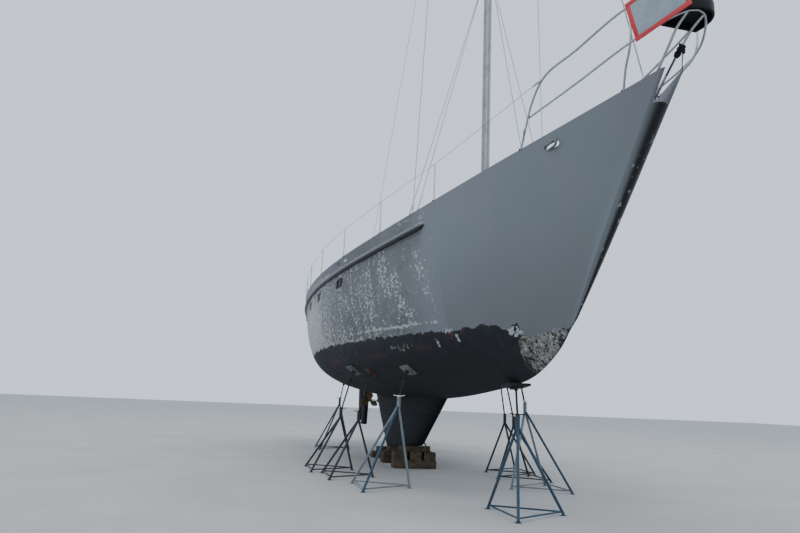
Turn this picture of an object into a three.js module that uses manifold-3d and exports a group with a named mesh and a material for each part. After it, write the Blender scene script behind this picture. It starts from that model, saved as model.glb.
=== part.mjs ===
// Sailing yacht laid up ashore: bare primed hull on keel blocks and boat stands.
// Millimetres, +Z up, bow towards +X, port side towards +Y, ground at z = 0.
// "Aft" distances are measured from the deck-level stem head, positive towards the stern.
import * as THREE from 'three';
import { mergeVertices } from 'three/addons/utils/BufferGeometryUtils.js';
import Module from 'manifold-3d';

const wasm = await Module();
wasm.setup();

// Driving dimensions
const BOW_X = 8364.5;             // x of the stem head, so that the origin is mid length
const GAP = 0.3;                 // clearance kept between pieces that touch
const BULWARK_TIP = -235;        // aft distance of the bulwark's foremost point
const TRANSOM_TOP = 17150;       // aft distance of the transom at the sheer
const TRANSOM_RAKE = 350;        // how far the transom's foot reaches aft of its top
const STEM_RAKE = 2005;          // how far the stem's foot lies aft of the bulwark tip
const RAKE_END = 7000;           // from here aft the stations stand upright
const WATERLINE_Z = 2520;
const BULWARK_WALL = 24;
const DECK_DROP = 240;           // bulwark top down to the deck at the side
const DECK_T = 30;
const CAMBER = 0.036;            // rise of the deck per unit of half breadth
const RUB_DROP = 300;            // bulwark top down to the rubbing strake
const RUB_START = 4250;
const RUB_R = 62;
const RUB_NOSE = 170;             // length over which the strake swells to its full size

const COACH = { fore: 5600, knee: 7500, aft: 11950, foreTop: 4500, top: 4690,
  foreHalf: 860, aftHalf: 1330, wall: 40, foot: 3900 };
const CABIN = { fore: 6000, aft: 11800, half: 980, sole: 2500 };
const COCKPIT = { fore: 11950, aft: 15200, half: 1150, seat: 3780, wellHalf: 450,
  wellAft: 14950, sole: 3350 };
const DOOR = { half: 300, sill: 3900, t: 30, lap: 30, parting: 4, headDrop: 35, knobY: 50,
  knobZ: 4300, knobR: 14, knobOut: 22 };
const LOCKER = { fore: 12500, aft: 13900, inner: 560, outer: 1060, floor: 3380, lidT: 25 };
const COAMING = { fore: 12100, aft: 15420, outer: 1340, foot: 3900, height: 300 };
const FORE_HATCH = { at: 3450, half: 290, rise: 75, wall: 45, lidT: 28, floor: 3600 };
const SALOON_HATCH = { at: 8600, half: 260, rise: 40, wall: 40, lidT: 26 };
const SLIDE_HATCH = { fore: 11130, aft: 11970, half: 360, t: 28, lift: 12, lip: 24, travel: 620,
  runner: 40 };
const GARAGE = { ahead: 760, over: 120, half: 420, wall: 20, headroom: 8, slope: 60 };
const MAST = { aft: 4850, foreAft: 200, across: 136, top: 19500, collarH: 210, collarR: 165,
  collarTopR: 140, headFore: 190, headAft: 170, headHalf: 40, headT: 60 };
const WIRE_R = 6;
const STANCHION_H = 600;
const RAIL_R = 15;

// Small mesh tools

const x = (aft) => BOW_X - aft;
const vec = (aft, y, z) => new THREE.Vector3(x(aft), y, z);
const raised = (p, h) => p.clone().add(new THREE.Vector3(0, 0, h));
const mix = (a, b, t) => a + (b - a) * t;

function toSolid(geometry) {
  const bare = geometry.clone();
  bare.deleteAttribute('normal');
  bare.deleteAttribute('uv');
  const merged = mergeVertices(bare, 1e-4);
  return new wasm.Manifold(new wasm.Mesh({ numProp: 3,
    vertProperties: new Float32Array(merged.attributes.position.array),
    triVerts: new Uint32Array(merged.index.array) }));
}

function toGeometry(solid) {
  const mesh = solid.getMesh();
  const geometry = new THREE.BufferGeometry();
  geometry.setAttribute('position', new THREE.BufferAttribute(mesh.vertProperties, 3));
  geometry.setIndex(new THREE.BufferAttribute(mesh.triVerts, 1));
  return geometry;
}

const join = (solids) => solids.reduce((all, one) => all.add(one));
const cut = (solid, ...tools) => tools.reduce((left, tool) => left.subtract(tool), solid);

function block(aft0, aft1, y0, y1, z0, z1) {
  const geometry = new THREE.BoxGeometry(Math.abs(aft1 - aft0), Math.abs(y1 - y0), z1 - z0);
  geometry.translate(x((aft0 + aft1) / 2), (y0 + y1) / 2, (z0 + z1) / 2);
  return toSolid(geometry);
}

// A round bar or cone between two points
function rod(a, b, r, sides = 10, rEnd = r) {
  const along = new THREE.Vector3().subVectors(b, a);
  const geometry = new THREE.CylinderGeometry(rEnd, r, along.length(), sides);
  geometry.applyQuaternion(new THREE.Quaternion().setFromUnitVectors(
    new THREE.Vector3(0, 1, 0), along.clone().normalize()));
  geometry.translate((a.x + b.x) / 2, (a.y + b.y) / 2, (a.z + b.z) / 2);
  return toSolid(geometry);
}

const ball = (p, r, sides = 10) => {
  const geometry = new THREE.SphereGeometry(r, sides, Math.ceil(sides / 2));
  geometry.translate(p.x, p.y, p.z);
  return toSolid(geometry);
};

// A round bar bent smoothly through points
function bentTube(points, r, steps = 24, sides = 6) {
  const circle = new THREE.Shape();
  circle.absarc(0, 0, r, 0, Math.PI * 2);
  const path = new THREE.CatmullRomCurve3(points, false, 'centripetal');
  return toSolid(new THREE.ExtrudeGeometry(circle,
    { steps, curveSegments: Math.ceil(sides / 2), extrudePath: path, bevelEnabled: false }));
}

// A straight prism from an outline in the plane of aft distance and height
function prism(outline, y0, y1) {
  const shape = new THREE.Shape(outline.map(([aft, z]) => new THREE.Vector2(x(aft), z)));
  const geometry = new THREE.ExtrudeGeometry(shape, { depth: y1 - y0, bevelEnabled: false });
  geometry.rotateX(Math.PI / 2);
  geometry.translate(0, y1, 0);
  return toSolid(geometry);
}

const corner = (positions, k) => new THREE.Vector3().fromArray(positions, k * 3);

// A closed skin through rings that hold the same number of points
function loft(rings) {
  const count = rings[0].length;
  const positions = rings.flat().flatMap((p) => [p.x, p.y, p.z]);
  const index = [];
  for (let i = 0; i + 1 < rings.length; i += 1) {
    for (let j = 0; j < count; j += 1) {
      const a = i * count + j;
      const b = i * count + (j + 1) % count;
      const [c, d] = [b + count, a + count];
      if (corner(positions, a).distanceTo(corner(positions, c))
        < corner(positions, b).distanceTo(corner(positions, d))) index.push(a, b, c, a, c, d);
      else index.push(a, b, d, b, c, d);
    }
  }
  // a ring is laid flat along the axis that its plane faces most
  const flatRing = (ring) => {
    const normal = new THREE.Vector3();
    ring.forEach((p, i) => normal.add(new THREE.Vector3().crossVectors(p, ring[(i + 1) % count])));
    const size = [Math.abs(normal.x), Math.abs(normal.y), Math.abs(normal.z)];
    const drop = size.indexOf(Math.max(...size));
    const [u, v] = [['y', 'z'], ['x', 'z'], ['x', 'y']][drop];
    return ring.map((p) => new THREE.Vector2(p[u], p[v]));
  };
  for (const last of [false, true]) {
    const base = last ? (rings.length - 1) * count : 0;
    const ring = rings[last ? rings.length - 1 : 0];
    const flat = flatRing(ring);
    // the skin's edges run a, b on the first ring, so its lid runs the other way
    const ringTurns = THREE.ShapeUtils.isClockWise(flat);
    for (const tri of THREE.ShapeUtils.triangulateShape(flat, [])) {
      const [p, q, r] = tri;
      const triTurns = (flat[q].x - flat[p].x) * (flat[r].y - flat[p].y)
        - (flat[q].y - flat[p].y) * (flat[r].x - flat[p].x) < 0;
      const follows = triTurns === ringTurns;
      const keep = follows === last;
      index.push(base + p, base + (keep ? q : r), base + (keep ? r : q));
    }
  }
  let volume = 0;
  for (let k = 0; k < index.length; k += 3) {
    const [a, b, c] = [0, 1, 2].map((m) => corner(positions, index[k + m]));
    volume += a.dot(b.cross(c));
  }
  if (volume < 0) index.reverse();
  const geometry = new THREE.BufferGeometry();
  geometry.setAttribute('position', new THREE.Float32BufferAttribute(positions, 3));
  geometry.setIndex(index);
  return toSolid(geometry);
}

// A smooth step from p to q that leaves with slope dp and arrives with slope dq
function hermite(p, q, dp, dq, t) {
  const t2 = t * t;
  const t3 = t2 * t;
  return p * (2 * t3 - 3 * t2 + 1) + q * (3 * t2 - 2 * t3) + dp * (t3 - 2 * t2 + t) + dq * (t3 - t2);
}

// A smooth curve that passes through the rows of a short table
function through(rows, column) {
  const xs = rows.map((row) => row[0]);
  const ys = rows.map((row) => row[column]);
  const last = xs.length - 1;
  const slope = (i) => {
    const a = Math.max(i - 1, 0);
    const b = Math.min(i + 1, last);
    return (ys[b] - ys[a]) / (xs[b] - xs[a]);
  };
  return (at) => {
    let i = xs.findIndex((v) => v > at) - 1;
    if (at <= xs[0]) i = 0;
    if (i < 0) i = last - 1;
    const h = xs[i + 1] - xs[i];
    return hermite(ys[i], ys[i + 1], slope(i) * h, slope(i + 1) * h, (at - xs[i]) / h);
  };
}

// Hull form

// aft distance, half breadth, height of the bulwark top
const SHEER = [
  [-235, 120, 4757], [1040, 404, 4715], [2620, 811, 4630], [4410, 1278, 4508],
  [5900, 1621, 4432], [7880, 1998, 4350], [9760, 2222, 4296], [11500, 2280, 4272],
  [13500, 2205, 4270], [15500, 2010, 4300], [17150, 1790, 4345]];
// aft distance, half breadth at the painted waterline
const WATERLINE = [
  [1770, 18], [3260, 630], [4730, 1170], [6190, 1600], [7660, 1925], [9120, 2075],
  [10600, 2100], [12050, 2020], [13500, 1850], [15000, 1600], [17480, 1050]];
// aft distance, height of the canoe body's centre line, rise of the bottom from level in degrees
const KEEL_LINE = [
  [1770, 2450, 70], [1960, 2310, 66], [2200, 2120, 62], [2680, 1900, 55], [3200, 1775, 47],
  [4300, 1655, 34], [5870, 1545, 22], [7500, 1500, 15], [10500, 1485, 11], [13000, 1600, 9],
  [15000, 1950, 7], [17500, 2420, 4]];

const sheerHalf = through(SHEER, 1);
const sheerZ = through(SHEER, 2);
const waterHalf = through(WATERLINE, 1);
const keelZ = through(KEEL_LINE, 1);
const keelRise = through(KEEL_LINE, 2);

// The stations lean with the stem forward and with the transom aft
function rakeAt(aft) {
  const fore = Math.max(0, 1 - (aft - BULWARK_TIP) / (RAKE_END - BULWARK_TIP));
  const stern = Math.max(0, (aft - 15500) / (TRANSOM_TOP - 15500));
  return STEM_RAKE * fore ** 1.5 + TRANSOM_RAKE * stern ** 2;
}

const BILGE_STEPS = 7;
const SIDE_STEPS = 5;

// One half section from the centre line out to the sheer, starboard side
function section(aft) {
  const rake = rakeAt(aft);
  const zs = sheerZ(aft);
  const b = sheerHalf(aft);
  const zk = keelZ(aft + rake);
  const w = Math.max(WATERLINE[0][1], waterHalf(aft + rake * (zs - WATERLINE_Z) / (zs - zk)));
  const bilge = Math.atan2(w, WATERLINE_Z - zk);
  const side = Math.atan2(b - w, zs - WATERLINE_Z);
  const turn = mix(side, bilge, 0.22 + 0.85 * Math.max(0, bilge - 1.05));
  const rise = THREE.MathUtils.degToRad(keelRise(aft + rake));
  const points = [];
  const arc = (from, to, a, c, n, skip) => {
    const reach = Math.hypot(to[0] - from[0], to[1] - from[1]) * 1.02;
    for (let i = skip; i <= n; i += 1) {
      const t = i / n;
      const y = hermite(from[0], to[0], Math.sin(a) * reach, Math.sin(c) * reach, t);
      const z = hermite(from[1], to[1], Math.cos(a) * reach, Math.cos(c) * reach, t);
      points.push(vec(aft + rake * (zs - z) / (zs - zk), -y, z));
    }
  };
  const flat = Math.max(Math.PI / 2 - rise, bilge);
  arc([0, zk], [w, WATERLINE_Z], flat, turn, BILGE_STEPS, 0);
  arc([w, WATERLINE_Z], [b, zs], turn, side * 0.82, SIDE_STEPS, 1);
  return points;
}

const mirrored = (p) => new THREE.Vector3(p.x, -p.y, p.z);

const BAYS = 27;
const STATIONS = Array.from({ length: BAYS + 1 },
  (_, i) => mix(BULWARK_TIP, TRANSOM_TOP, (i / BAYS) ** 1.18));

function hullRing(aft) {
  const half = section(aft);
  return [...half.slice().reverse(), ...half.slice(1).map(mirrored)];
}

// The point of a station's starboard side at a height
function sideAt(aft, z) {
  const half = section(aft);
  for (let i = half.length - 2; i >= 0; i -= 1) {
    const share = (z - half[i].z) / (half[i + 1].z - half[i].z);
    if (half[i].z <= z) return half[i].clone().lerp(half[i + 1], share);
  }
  return half[0].clone();
}

const hullForm = loft(STATIONS.map(hullRing));

// The space inside the bulwarks, from a depth under the bulwark top up
function deckSpace(drop, inset, rise = 400, ahead = 500, behind = 500) {
  const ring = (aft, shift) => {
    const zs = sheerZ(aft);
    const edge = sideAt(aft, zs - drop);
    const top = sideAt(aft, zs);
    const slope = (Math.abs(top.y) - Math.abs(edge.y)) / (top.z - edge.z);
    const half = Math.abs(edge.y);
    const low = half - inset;
    const high = low + slope * (drop + rise);
    const lean = (top.x - edge.x) / (top.z - edge.z);
    const xTop = edge.x + lean * (drop + rise);
    return [
      new THREE.Vector3(edge.x + shift, -low, edge.z + CAMBER * inset),
      new THREE.Vector3(edge.x + shift, 0, edge.z + CAMBER * half),
      new THREE.Vector3(edge.x + shift, low, edge.z + CAMBER * inset),
      new THREE.Vector3(xTop + shift, high, zs + rise),
      new THREE.Vector3(xTop + shift, -high, zs + rise)];
  };
  const rings = STATIONS.slice(0, -1).map((aft) => ring(aft, 0));
  return loft([...(ahead ? [ring(BULWARK_TIP, ahead)] : []), ...rings, ring(TRANSOM_TOP, -behind)]);
}

const hullCut = deckSpace(DECK_DROP + DECK_T, BULWARK_WALL, 400, 500, -BULWARK_WALL);
const deckUnder = deckSpace(DECK_DROP + DECK_T - GAP, BULWARK_WALL + GAP, 400, 0,
  -BULWARK_WALL - GAP);
const OVERHANG = -200;           // the spaces over the deck reach past the hull's sides
const deckOver = deckSpace(DECK_DROP, OVERHANG, 900);
const belowDeck = cut(block(-2000, 19000, -5000, 5000, -1000, 6500),
  deckSpace(DECK_DROP - GAP, OVERHANG, 3000));

// Height of the deck at a station and offset
function deckZ(aft, y) {
  const edge = sideAt(aft, sheerZ(aft) - DECK_DROP);
  return edge.z + CAMBER * (Math.abs(edge.y) - Math.abs(y));
}

// The bulwarks with a gap over them, for what stands on their top
const bulwarks = cut(hullForm, hullCut);
const bulwarkTop = join([bulwarks, bulwarks.translate([0, 0, GAP])]);

// Keeps only what stands above the deck
const onDeck = (solid) => cut(solid, belowDeck);

// Coachroof, a shell whose sides lean in

function coachRing(aft, inset, foot) {
  const t = Math.min(1, Math.max(0, (aft - COACH.fore) / (COACH.aft - COACH.fore)));
  const half = mix(COACH.foreHalf, COACH.aftHalf, 1 - (1 - t) ** 1.6) - inset;
  const knee = Math.min(1, (aft - COACH.fore) / (COACH.knee - COACH.fore));
  const top = mix(COACH.foreTop, COACH.top, Math.max(0, knee)) - inset;
  const flatHalf = 450;
  const profile = [[half, foot], [half - 20, 4230], [half - 70, top - 75], [half - 150, top - 28],
    [flatHalf, top]];
  return [...profile.map(([y, z]) => vec(aft, -y, z)),
    ...profile.slice().reverse().map(([y, z]) => vec(aft, y, z))];
}

function coachForm(inset, foot) {
  const aftEnd = COACH.aft - inset;
  const foreEnd = COACH.fore + inset;
  const cuts = [foreEnd, foreEnd + 400, 6500, 7000, COACH.knee, 8500, 9500, 10700, aftEnd];
  return loft(cuts.map((aft) => coachRing(aft, inset, foot)));
}

// aft distance of the fore end, length of each cabin window
const CABIN_WINDOWS = [[6650, 900], [7800, 900], [8950, 900], [10100, 1100]];
const WINDOW_LOW = 4300;
const WINDOW_HIGH = 4520;

function windowCuts() {
  return join(CABIN_WINDOWS.map(([fore, length]) => {
    const low = fore < 7000 ? WINDOW_LOW + 15 : WINDOW_LOW;
    return block(fore, fore + length, -1600, 1600, low, WINDOW_HIGH);
  }));
}

const slideOpening = block(SLIDE_HATCH.fore + 90, COACH.aft + 100,
  -DOOR.half, DOOR.half, DOOR.sill, COACH.top + 200);
const saloonClear = SALOON_HATCH.half - 30;
const saloonOpening = block(SALOON_HATCH.at - saloonClear, SALOON_HATCH.at + saloonClear,
  -saloonClear, saloonClear, COACH.top - 200, COACH.top + 200);

function makeCoachroof() {
  const shell = cut(coachForm(0, COACH.foot), coachForm(COACH.wall, COACH.foot - 50), windowCuts());
  const rim = block(SALOON_HATCH.at - SALOON_HATCH.half, SALOON_HATCH.at + SALOON_HATCH.half,
    -SALOON_HATCH.half, SALOON_HATCH.half, COACH.top - 20, COACH.top + SALOON_HATCH.rise);
  const track = DOOR.half + 10;
  const runner = (side) => block(SLIDE_HATCH.fore - SLIDE_HATCH.travel, COACH.aft, side * track,
    side * (track + SLIDE_HATCH.runner), COACH.top - 20, COACH.top + SLIDE_HATCH.lift - GAP);
  return onDeck(cut(join([shell, rim, runner(-1), runner(1)]), slideOpening, saloonOpening));
}

function makeWindowBand(side) {
  const outside = COACH.wall + GAP;
  const sheet = cut(coachForm(outside, COACH.foot), coachForm(outside + 8, COACH.foot - 50));
  const [first] = CABIN_WINDOWS;
  const [lastFore, lastLength] = CABIN_WINDOWS[CABIN_WINDOWS.length - 1];
  const reach = block(first[0] - 60, lastFore + lastLength + 60, side * 700, side * 1500,
    WINDOW_LOW - 40, WINDOW_HIGH + 40);
  return sheet.intersect(reach);
}

// Spaces cut into the decked hull

const cabinSpace = block(CABIN.fore, CABIN.aft, -CABIN.half, CABIN.half, CABIN.sole, 4600);
const seatSpace = block(COCKPIT.fore, COCKPIT.aft, -COCKPIT.half, COCKPIT.half, COCKPIT.seat, 4900);
const footSpace = block(COCKPIT.fore, COCKPIT.wellAft, -COCKPIT.wellHalf, COCKPIT.wellHalf,
  COCKPIT.sole, 4900);
const doorSpace = block(CABIN.aft - 50, COCKPIT.fore + 50, -DOOR.half, DOOR.half, DOOR.sill, 4900);
const lockerSpaces = join([-1, 1].map((side) => block(LOCKER.fore + 40, LOCKER.aft - 40,
  side * (LOCKER.inner + 40), side * (LOCKER.outer - 60), LOCKER.floor, 4000)));
const foreLocker = block(FORE_HATCH.at - FORE_HATCH.half + FORE_HATCH.wall,
  FORE_HATCH.at + FORE_HATCH.half - FORE_HATCH.wall, -FORE_HATCH.half + FORE_HATCH.wall,
  FORE_HATCH.half - FORE_HATCH.wall, FORE_HATCH.floor, 5000);

// Oval slots through the bulwarks: aft distance, drop from the bulwark top, length, height
const HAWSE_SLOTS = [[1560, 150, 330, 95], [8170, 95, 150, 60], [15900, 130, 300, 90]];

function hawseCuts() {
  return join(HAWSE_SLOTS.map(([aft, drop, length, height]) => {
    const shape = new THREE.Shape();
    const flat = (length - height) / 2;
    shape.absarc(flat, 0, height / 2, -Math.PI / 2, Math.PI / 2);
    shape.absarc(-flat, 0, height / 2, Math.PI / 2, Math.PI * 1.5);
    const beam = 6000;
    const geometry = new THREE.ExtrudeGeometry(shape,
      { depth: beam, curveSegments: 5, bevelEnabled: false });
    geometry.rotateX(Math.PI / 2);
    geometry.translate(x(aft), beam / 2, sheerZ(aft) - drop);
    return toSolid(geometry);
  }));
}

// Hull side windows: aft distance of the centre, drop from the bulwark top
const PORTLIGHTS = [[7950, 560], [9850, 555], [11400, 550], [13900, 540]];
const PORT_LENGTH = 430;
const PORT_HEIGHT = 210;
const PORT_DEPTH = 14;

function portlightCuts() {
  return join(PORTLIGHTS.flatMap(([aft, drop]) => [-1, 1].map((side) => {
    const at = sideAt(aft, sheerZ(aft) - drop);
    const y = Math.abs(at.y) - PORT_DEPTH;
    return block(aft - PORT_LENGTH / 2, aft + PORT_LENGTH / 2, side * y, side * (y + 300),
      at.z - PORT_HEIGHT / 2, at.z + PORT_HEIGHT / 2);
  })));
}

const RUDDER = { stock: 15330, fore: 15120, aft: 16180, low: 760, half: 68, lowTaper: 190,
  clear: 22, under: 45, stockR: 45, stockTop: 2900, boreR: 48, pintleR: 26 };
const rudderBore = rod(vec(RUDDER.stock, 0, 1500), vec(RUDDER.stock, 0, 3100), RUDDER.boreR, 24);

// The hull up to the deck, and the cockpit with its seats and lockers, a tub let into it
const hullAndCockpit = cut(hullForm, hullCut, deckOver, cabinSpace, seatSpace, footSpace,
  doorSpace, lockerSpaces, foreLocker, portlightCuts(), rudderBore);
const TUB_WALL = 60;
const tubSpace = (gap) => block(COCKPIT.fore - TUB_WALL - gap, COCKPIT.aft + TUB_WALL + gap,
  -COCKPIT.half - TUB_WALL - gap, COCKPIT.half + TUB_WALL + gap, COCKPIT.sole - TUB_WALL - gap, 5000);
const makeHull = () => cut(hullAndCockpit, tubSpace(GAP));
const makeCockpitTub = () => hullAndCockpit.intersect(tubSpace(0));

// The bulwarks that stand on the hull's edge, parted at the middle of the transom

const sideHalf = (side, fore, aft) => block(fore, aft, side * GAP / 2, side * 4000, 3000, 6500);

function makeBulwark(side) {
  const plating = bulwarks.intersect(deckSpace(DECK_DROP - GAP, OVERHANG, 900));
  return cut(plating.intersect(sideHalf(side, -1500, 19000)), hawseCuts());
}

// Deck plates: one ahead of the cabin, one along each side, one behind the cockpit
const deckPlate = cut(deckUnder, deckOver);

function makeEndDeck(fore, aft) {
  return cut(deckPlate.intersect(block(fore, aft, -4000, 4000, 3000, 6500)), foreLocker);
}

function makeSideDeck(side) {
  const cabinHole = block(CABIN.fore, CABIN.aft, -CABIN.half, CABIN.half, 3500, 5000);
  const cockpitHole = block(COCKPIT.fore - 200, COCKPIT.aft, -COCKPIT.half, COCKPIT.half, 3500, 5000);
  return cut(deckPlate.intersect(sideHalf(side, CABIN.fore + GAP, COCKPIT.aft - GAP)),
    cabinHole, cockpitHole);
}

// Half-round strake along the topsides with a blunt, rounded nose
function makeRubRail(side) {
  const [steps, root] = [22, 30];
  const run = Array.from({ length: steps + 1 }, (_, i) => mix(RUB_START + RUB_NOSE, TRANSOM_TOP - 20,
    (i / steps) ** 1.25));
  const nose = [0, 0.12, 0.4].map((share) => RUB_START + RUB_NOSE * share);
  const rings = [...nose, ...run].map((aft) => {
    const at = sideAt(aft, sheerZ(aft) - RUB_DROP);
    const y = Math.abs(at.y);
    const share = Math.min(1, (aft - RUB_START) / RUB_NOSE);
    const r = RUB_R * Math.sqrt(0.06 + 0.94 * share * (2 - share));
    const round = [0, 1, 2, 3, 4].map((k) => {
      const a = Math.PI * (k / 4 - 0.5);
      return new THREE.Vector3(at.x, side * (y + r * Math.cos(a) * 0.9), at.z + r * Math.sin(a));
    });
    return [...round, new THREE.Vector3(at.x, side * (y - root), at.z + r),
      new THREE.Vector3(at.x, side * (y - root), at.z - r)];
  });
  return cut(loft(rings), hullForm.translate([0, side * GAP, 0]));
}

// Keel: leading and trailing edges at the hull and at the sole, and the joint with the ballast

const KEEL = { topFore: 6760, topAft: 13140, topZ: 1510, lowFore: 8370, lowAft: 11640,
  lowForeZ: 520, lowAftZ: 250, topHalf: 235, lowHalf: 175, jointZ: 1170, overrun: 320 };

function foilRing(fore, aft, half, zFore, zAft) {
  const ring = [];
  const shape = (t) => 1.48 * Math.sqrt(t) - 0.9 * t - 0.58 * t ** 3;
  const cuts = [0.003, 0.02, 0.06, 0.14, 0.26, 0.42, 0.6, 0.78, 0.92, 0.985];
  const at = (t, sign) => vec(mix(fore, aft, t), sign * half * (shape(t) / 0.62 + 0.03),
    mix(zFore, zAft, t));
  cuts.forEach((t) => ring.push(at(t, -1)));
  cuts.slice().reverse().forEach((t) => ring.push(at(t, 1)));
  return ring;
}

function keelForm() {
  const topZ = KEEL.topZ + KEEL.overrun;
  const grow = (topZ - KEEL.lowForeZ) / (KEEL.topZ - KEEL.lowForeZ);
  const low = foilRing(KEEL.lowFore, KEEL.lowAft, KEEL.lowHalf, KEEL.lowForeZ, KEEL.lowAftZ);
  const high = foilRing(mix(KEEL.lowFore, KEEL.topFore, grow), mix(KEEL.lowAft, KEEL.topAft, grow),
    KEEL.topHalf, topZ, topZ);
  const underHull = hullForm.translate([0, 0, -GAP]);
  return cut(loft([low, high]), underHull);
}

const keelWhole = keelForm();
const keelSplit = (low, high) => keelWhole.intersect(block(5000, 15000, -900, 900, low, high));

// Skeg ahead of the rudder, with the heel that carries the rudder's pintle
const SKEG = { fore: 14450, aft: 15230, footFore: 14800, half: 70, edgeHalf: 8, sharpLength: 330,
  topZ: 2350, heelZ: 720, heelT: 60, heelAft: 15420 };

function makeSkeg() {
  const soleZ = SKEG.heelZ - SKEG.heelT;
  const side = prism([[SKEG.fore, SKEG.topZ], [SKEG.footFore, soleZ], [SKEG.heelAft, soleZ],
    [SKEG.heelAft, SKEG.heelZ], [SKEG.aft, SKEG.heelZ], [SKEG.aft, SKEG.topZ]],
  -SKEG.half, SKEG.half);
  const sharp = loft([soleZ - 10, SKEG.topZ + 50].map((z) => {
    const fore = mix(SKEG.footFore, SKEG.fore, (z - soleZ + 10) / (SKEG.topZ - soleZ + 10)) - 20;
    const [full, aft] = [fore + SKEG.sharpLength, SKEG.heelAft + 20];
    return [vec(fore, -SKEG.edgeHalf, z), vec(full, -SKEG.half, z), vec(aft, -SKEG.half, z),
      vec(aft, SKEG.half, z), vec(full, SKEG.half, z), vec(fore, SKEG.edgeHalf, z)];
  }));
  return cut(side.intersect(sharp), hullForm.translate([0, 0, -GAP]));
}

function makeRudder() {
  const blade = (z, fore, aft) => {
    const cuts = [[0, 0.42], [0.05, 0.75], [0.2, 1], [0.45, 0.85], [0.75, 0.45], [1, 0.08]];
    const right = cuts.map(([t, k]) => vec(mix(fore, aft, t), -RUDDER.half * k, z));
    return [...right, ...right.slice().reverse().map(mirrored)];
  };
  const top = Math.min(keelZ(RUDDER.stock), keelZ(RUDDER.fore + 130)) - RUDDER.under;
  const fore = SKEG.aft + RUDDER.clear;
  const body = loft([blade(RUDDER.low, fore, RUDDER.aft - RUDDER.lowTaper),
    blade(top, fore, RUDDER.aft)]);
  const stock = rod(vec(RUDDER.stock, 0, top - 300), vec(RUDDER.stock, 0, RUDDER.stockTop),
    RUDDER.stockR, 20);
  const pintle = rod(vec(RUDDER.stock, 0, SKEG.heelZ + GAP), vec(RUDDER.stock, 0, RUDDER.low + 60),
    RUDDER.pintleR, 16);
  return join([body, stock, pintle]);
}

// Propeller shaft out of the keel's trailing edge, carried by a bracket

const SHAFT = { z: 1400, fore: 12700, aft: 14230, r: 22, bracket: 14080, barrelR: 42, barrelHalf: 70,
  strutHalf: 11, strutLength: 50, hub: 14300, hubR: 48, hubTipR: 30, bladeR: 290, bladeT: 9,
  pitch: 58 };

function makeShaft() {
  const bar = rod(vec(SHAFT.fore, 0, SHAFT.z), vec(SHAFT.aft, 0, SHAFT.z), SHAFT.r, 14);
  const barrel = rod(vec(SHAFT.bracket - SHAFT.barrelHalf, 0, SHAFT.z),
    vec(SHAFT.bracket + SHAFT.barrelHalf, 0, SHAFT.z), SHAFT.barrelR, 14);
  const strut = block(SHAFT.bracket - SHAFT.strutLength, SHAFT.bracket + SHAFT.strutLength,
    -SHAFT.strutHalf, SHAFT.strutHalf, SHAFT.z, 2100);
  return cut(join([bar, barrel, strut]), hullForm.translate([0, 0, -GAP]),
    keelWhole.translate([-GAP, 0, 0]));
}

function makePropeller() {
  const hub = rod(vec(SHAFT.aft + GAP, 0, SHAFT.z), vec(SHAFT.hub + 90, 0, SHAFT.z),
    SHAFT.hubR, 16, SHAFT.hubTipR);
  const blades = [0, 1, 2].map((k) => {
    const outline = new THREE.Shape();
    outline.moveTo(-28, 20);
    outline.bezierCurveTo(-110, 110, -120, 230, -10, SHAFT.bladeR);
    outline.bezierCurveTo(90, 240, 100, 120, 28, 20);
    const geometry = new THREE.ExtrudeGeometry(outline,
      { depth: SHAFT.bladeT, curveSegments: 6, bevelEnabled: false });
    geometry.translate(0, 0, -SHAFT.bladeT / 2);
    geometry.rotateY(THREE.MathUtils.degToRad(SHAFT.pitch));
    geometry.rotateX(Math.PI / 2 + k * 2 * Math.PI / 3);
    geometry.translate(x(SHAFT.hub), 0, SHAFT.z);
    return toSolid(geometry);
  });
  return join([hub, ...blades]);
}

const belowGround = block(-4000, 21000, -6000, 6000, -400, 0);

// Keel blocks, stacked timbers whose tops follow the sloping sole
// name, aft distance of the centre
const KEEL_BLOCKS = [['keel_block_fore', 8950], ['keel_block_mid', 10100], ['keel_block_aft', 11300]];
const TIMBER = { half: 150, capWidth: 330, capT: 110, foot: 40, footWidth: 480 };

function makeKeelBlock(aft) {
  const sole = (at) => mix(KEEL.lowForeZ, KEEL.lowAftZ,
    (at - KEEL.lowFore) / (KEEL.lowAft - KEEL.lowFore)) - GAP;
  const [fore, back] = [aft - TIMBER.half, aft + TIMBER.half];
  const low = sole(back) - TIMBER.capT;
  const cap = prism([[fore, low], [back, low], [back, sole(back)], [fore, sole(fore)]],
    -TIMBER.capWidth, TIMBER.capWidth);
  const [footFore, footAft] = [fore - TIMBER.foot, back + TIMBER.foot];
  const base = prism([[footFore, 0], [footAft, 0], [footAft, low + 1], [footFore, low + 1]],
    -TIMBER.footWidth, TIMBER.footWidth);
  return join([cap, base]);
}

// Boat stands: name, station at the sheer, how far up the bilge the pad sits in section steps
// (0 is the centre line), how far the feet stand out from under the pad, their shift forward,
// how far down the stand its legs part, half length and half width of the pad
const STANDS = [
  ['bow', 2500, 0, 0, 260, 0.24, 165, 165],
  ['fore', 5600, 4.1, 500, 0, 0.24, 150, 120],
  ['mid', 7200, 4.5, 480, 0, 0.4, 130, 120],
  ['board', 8000, 4.9, 480, -350, 0.4, 225, 150],
  ['aft', 13600, 3, 360, 0, 0.24, 150, 150]];
const STAND = { footR: 600, legR: 21, ringZ: 50, ringR: 13, screwR: 17, padT: 38, padBite: 8,
  knuckleR: 42, knuckleTipR: 26, knuckleDrop: 30, tubeR: 34, tubeUp: 40, tubeDown: 140,
  footPlateR: 55, footPlateT: 14 };

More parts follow.
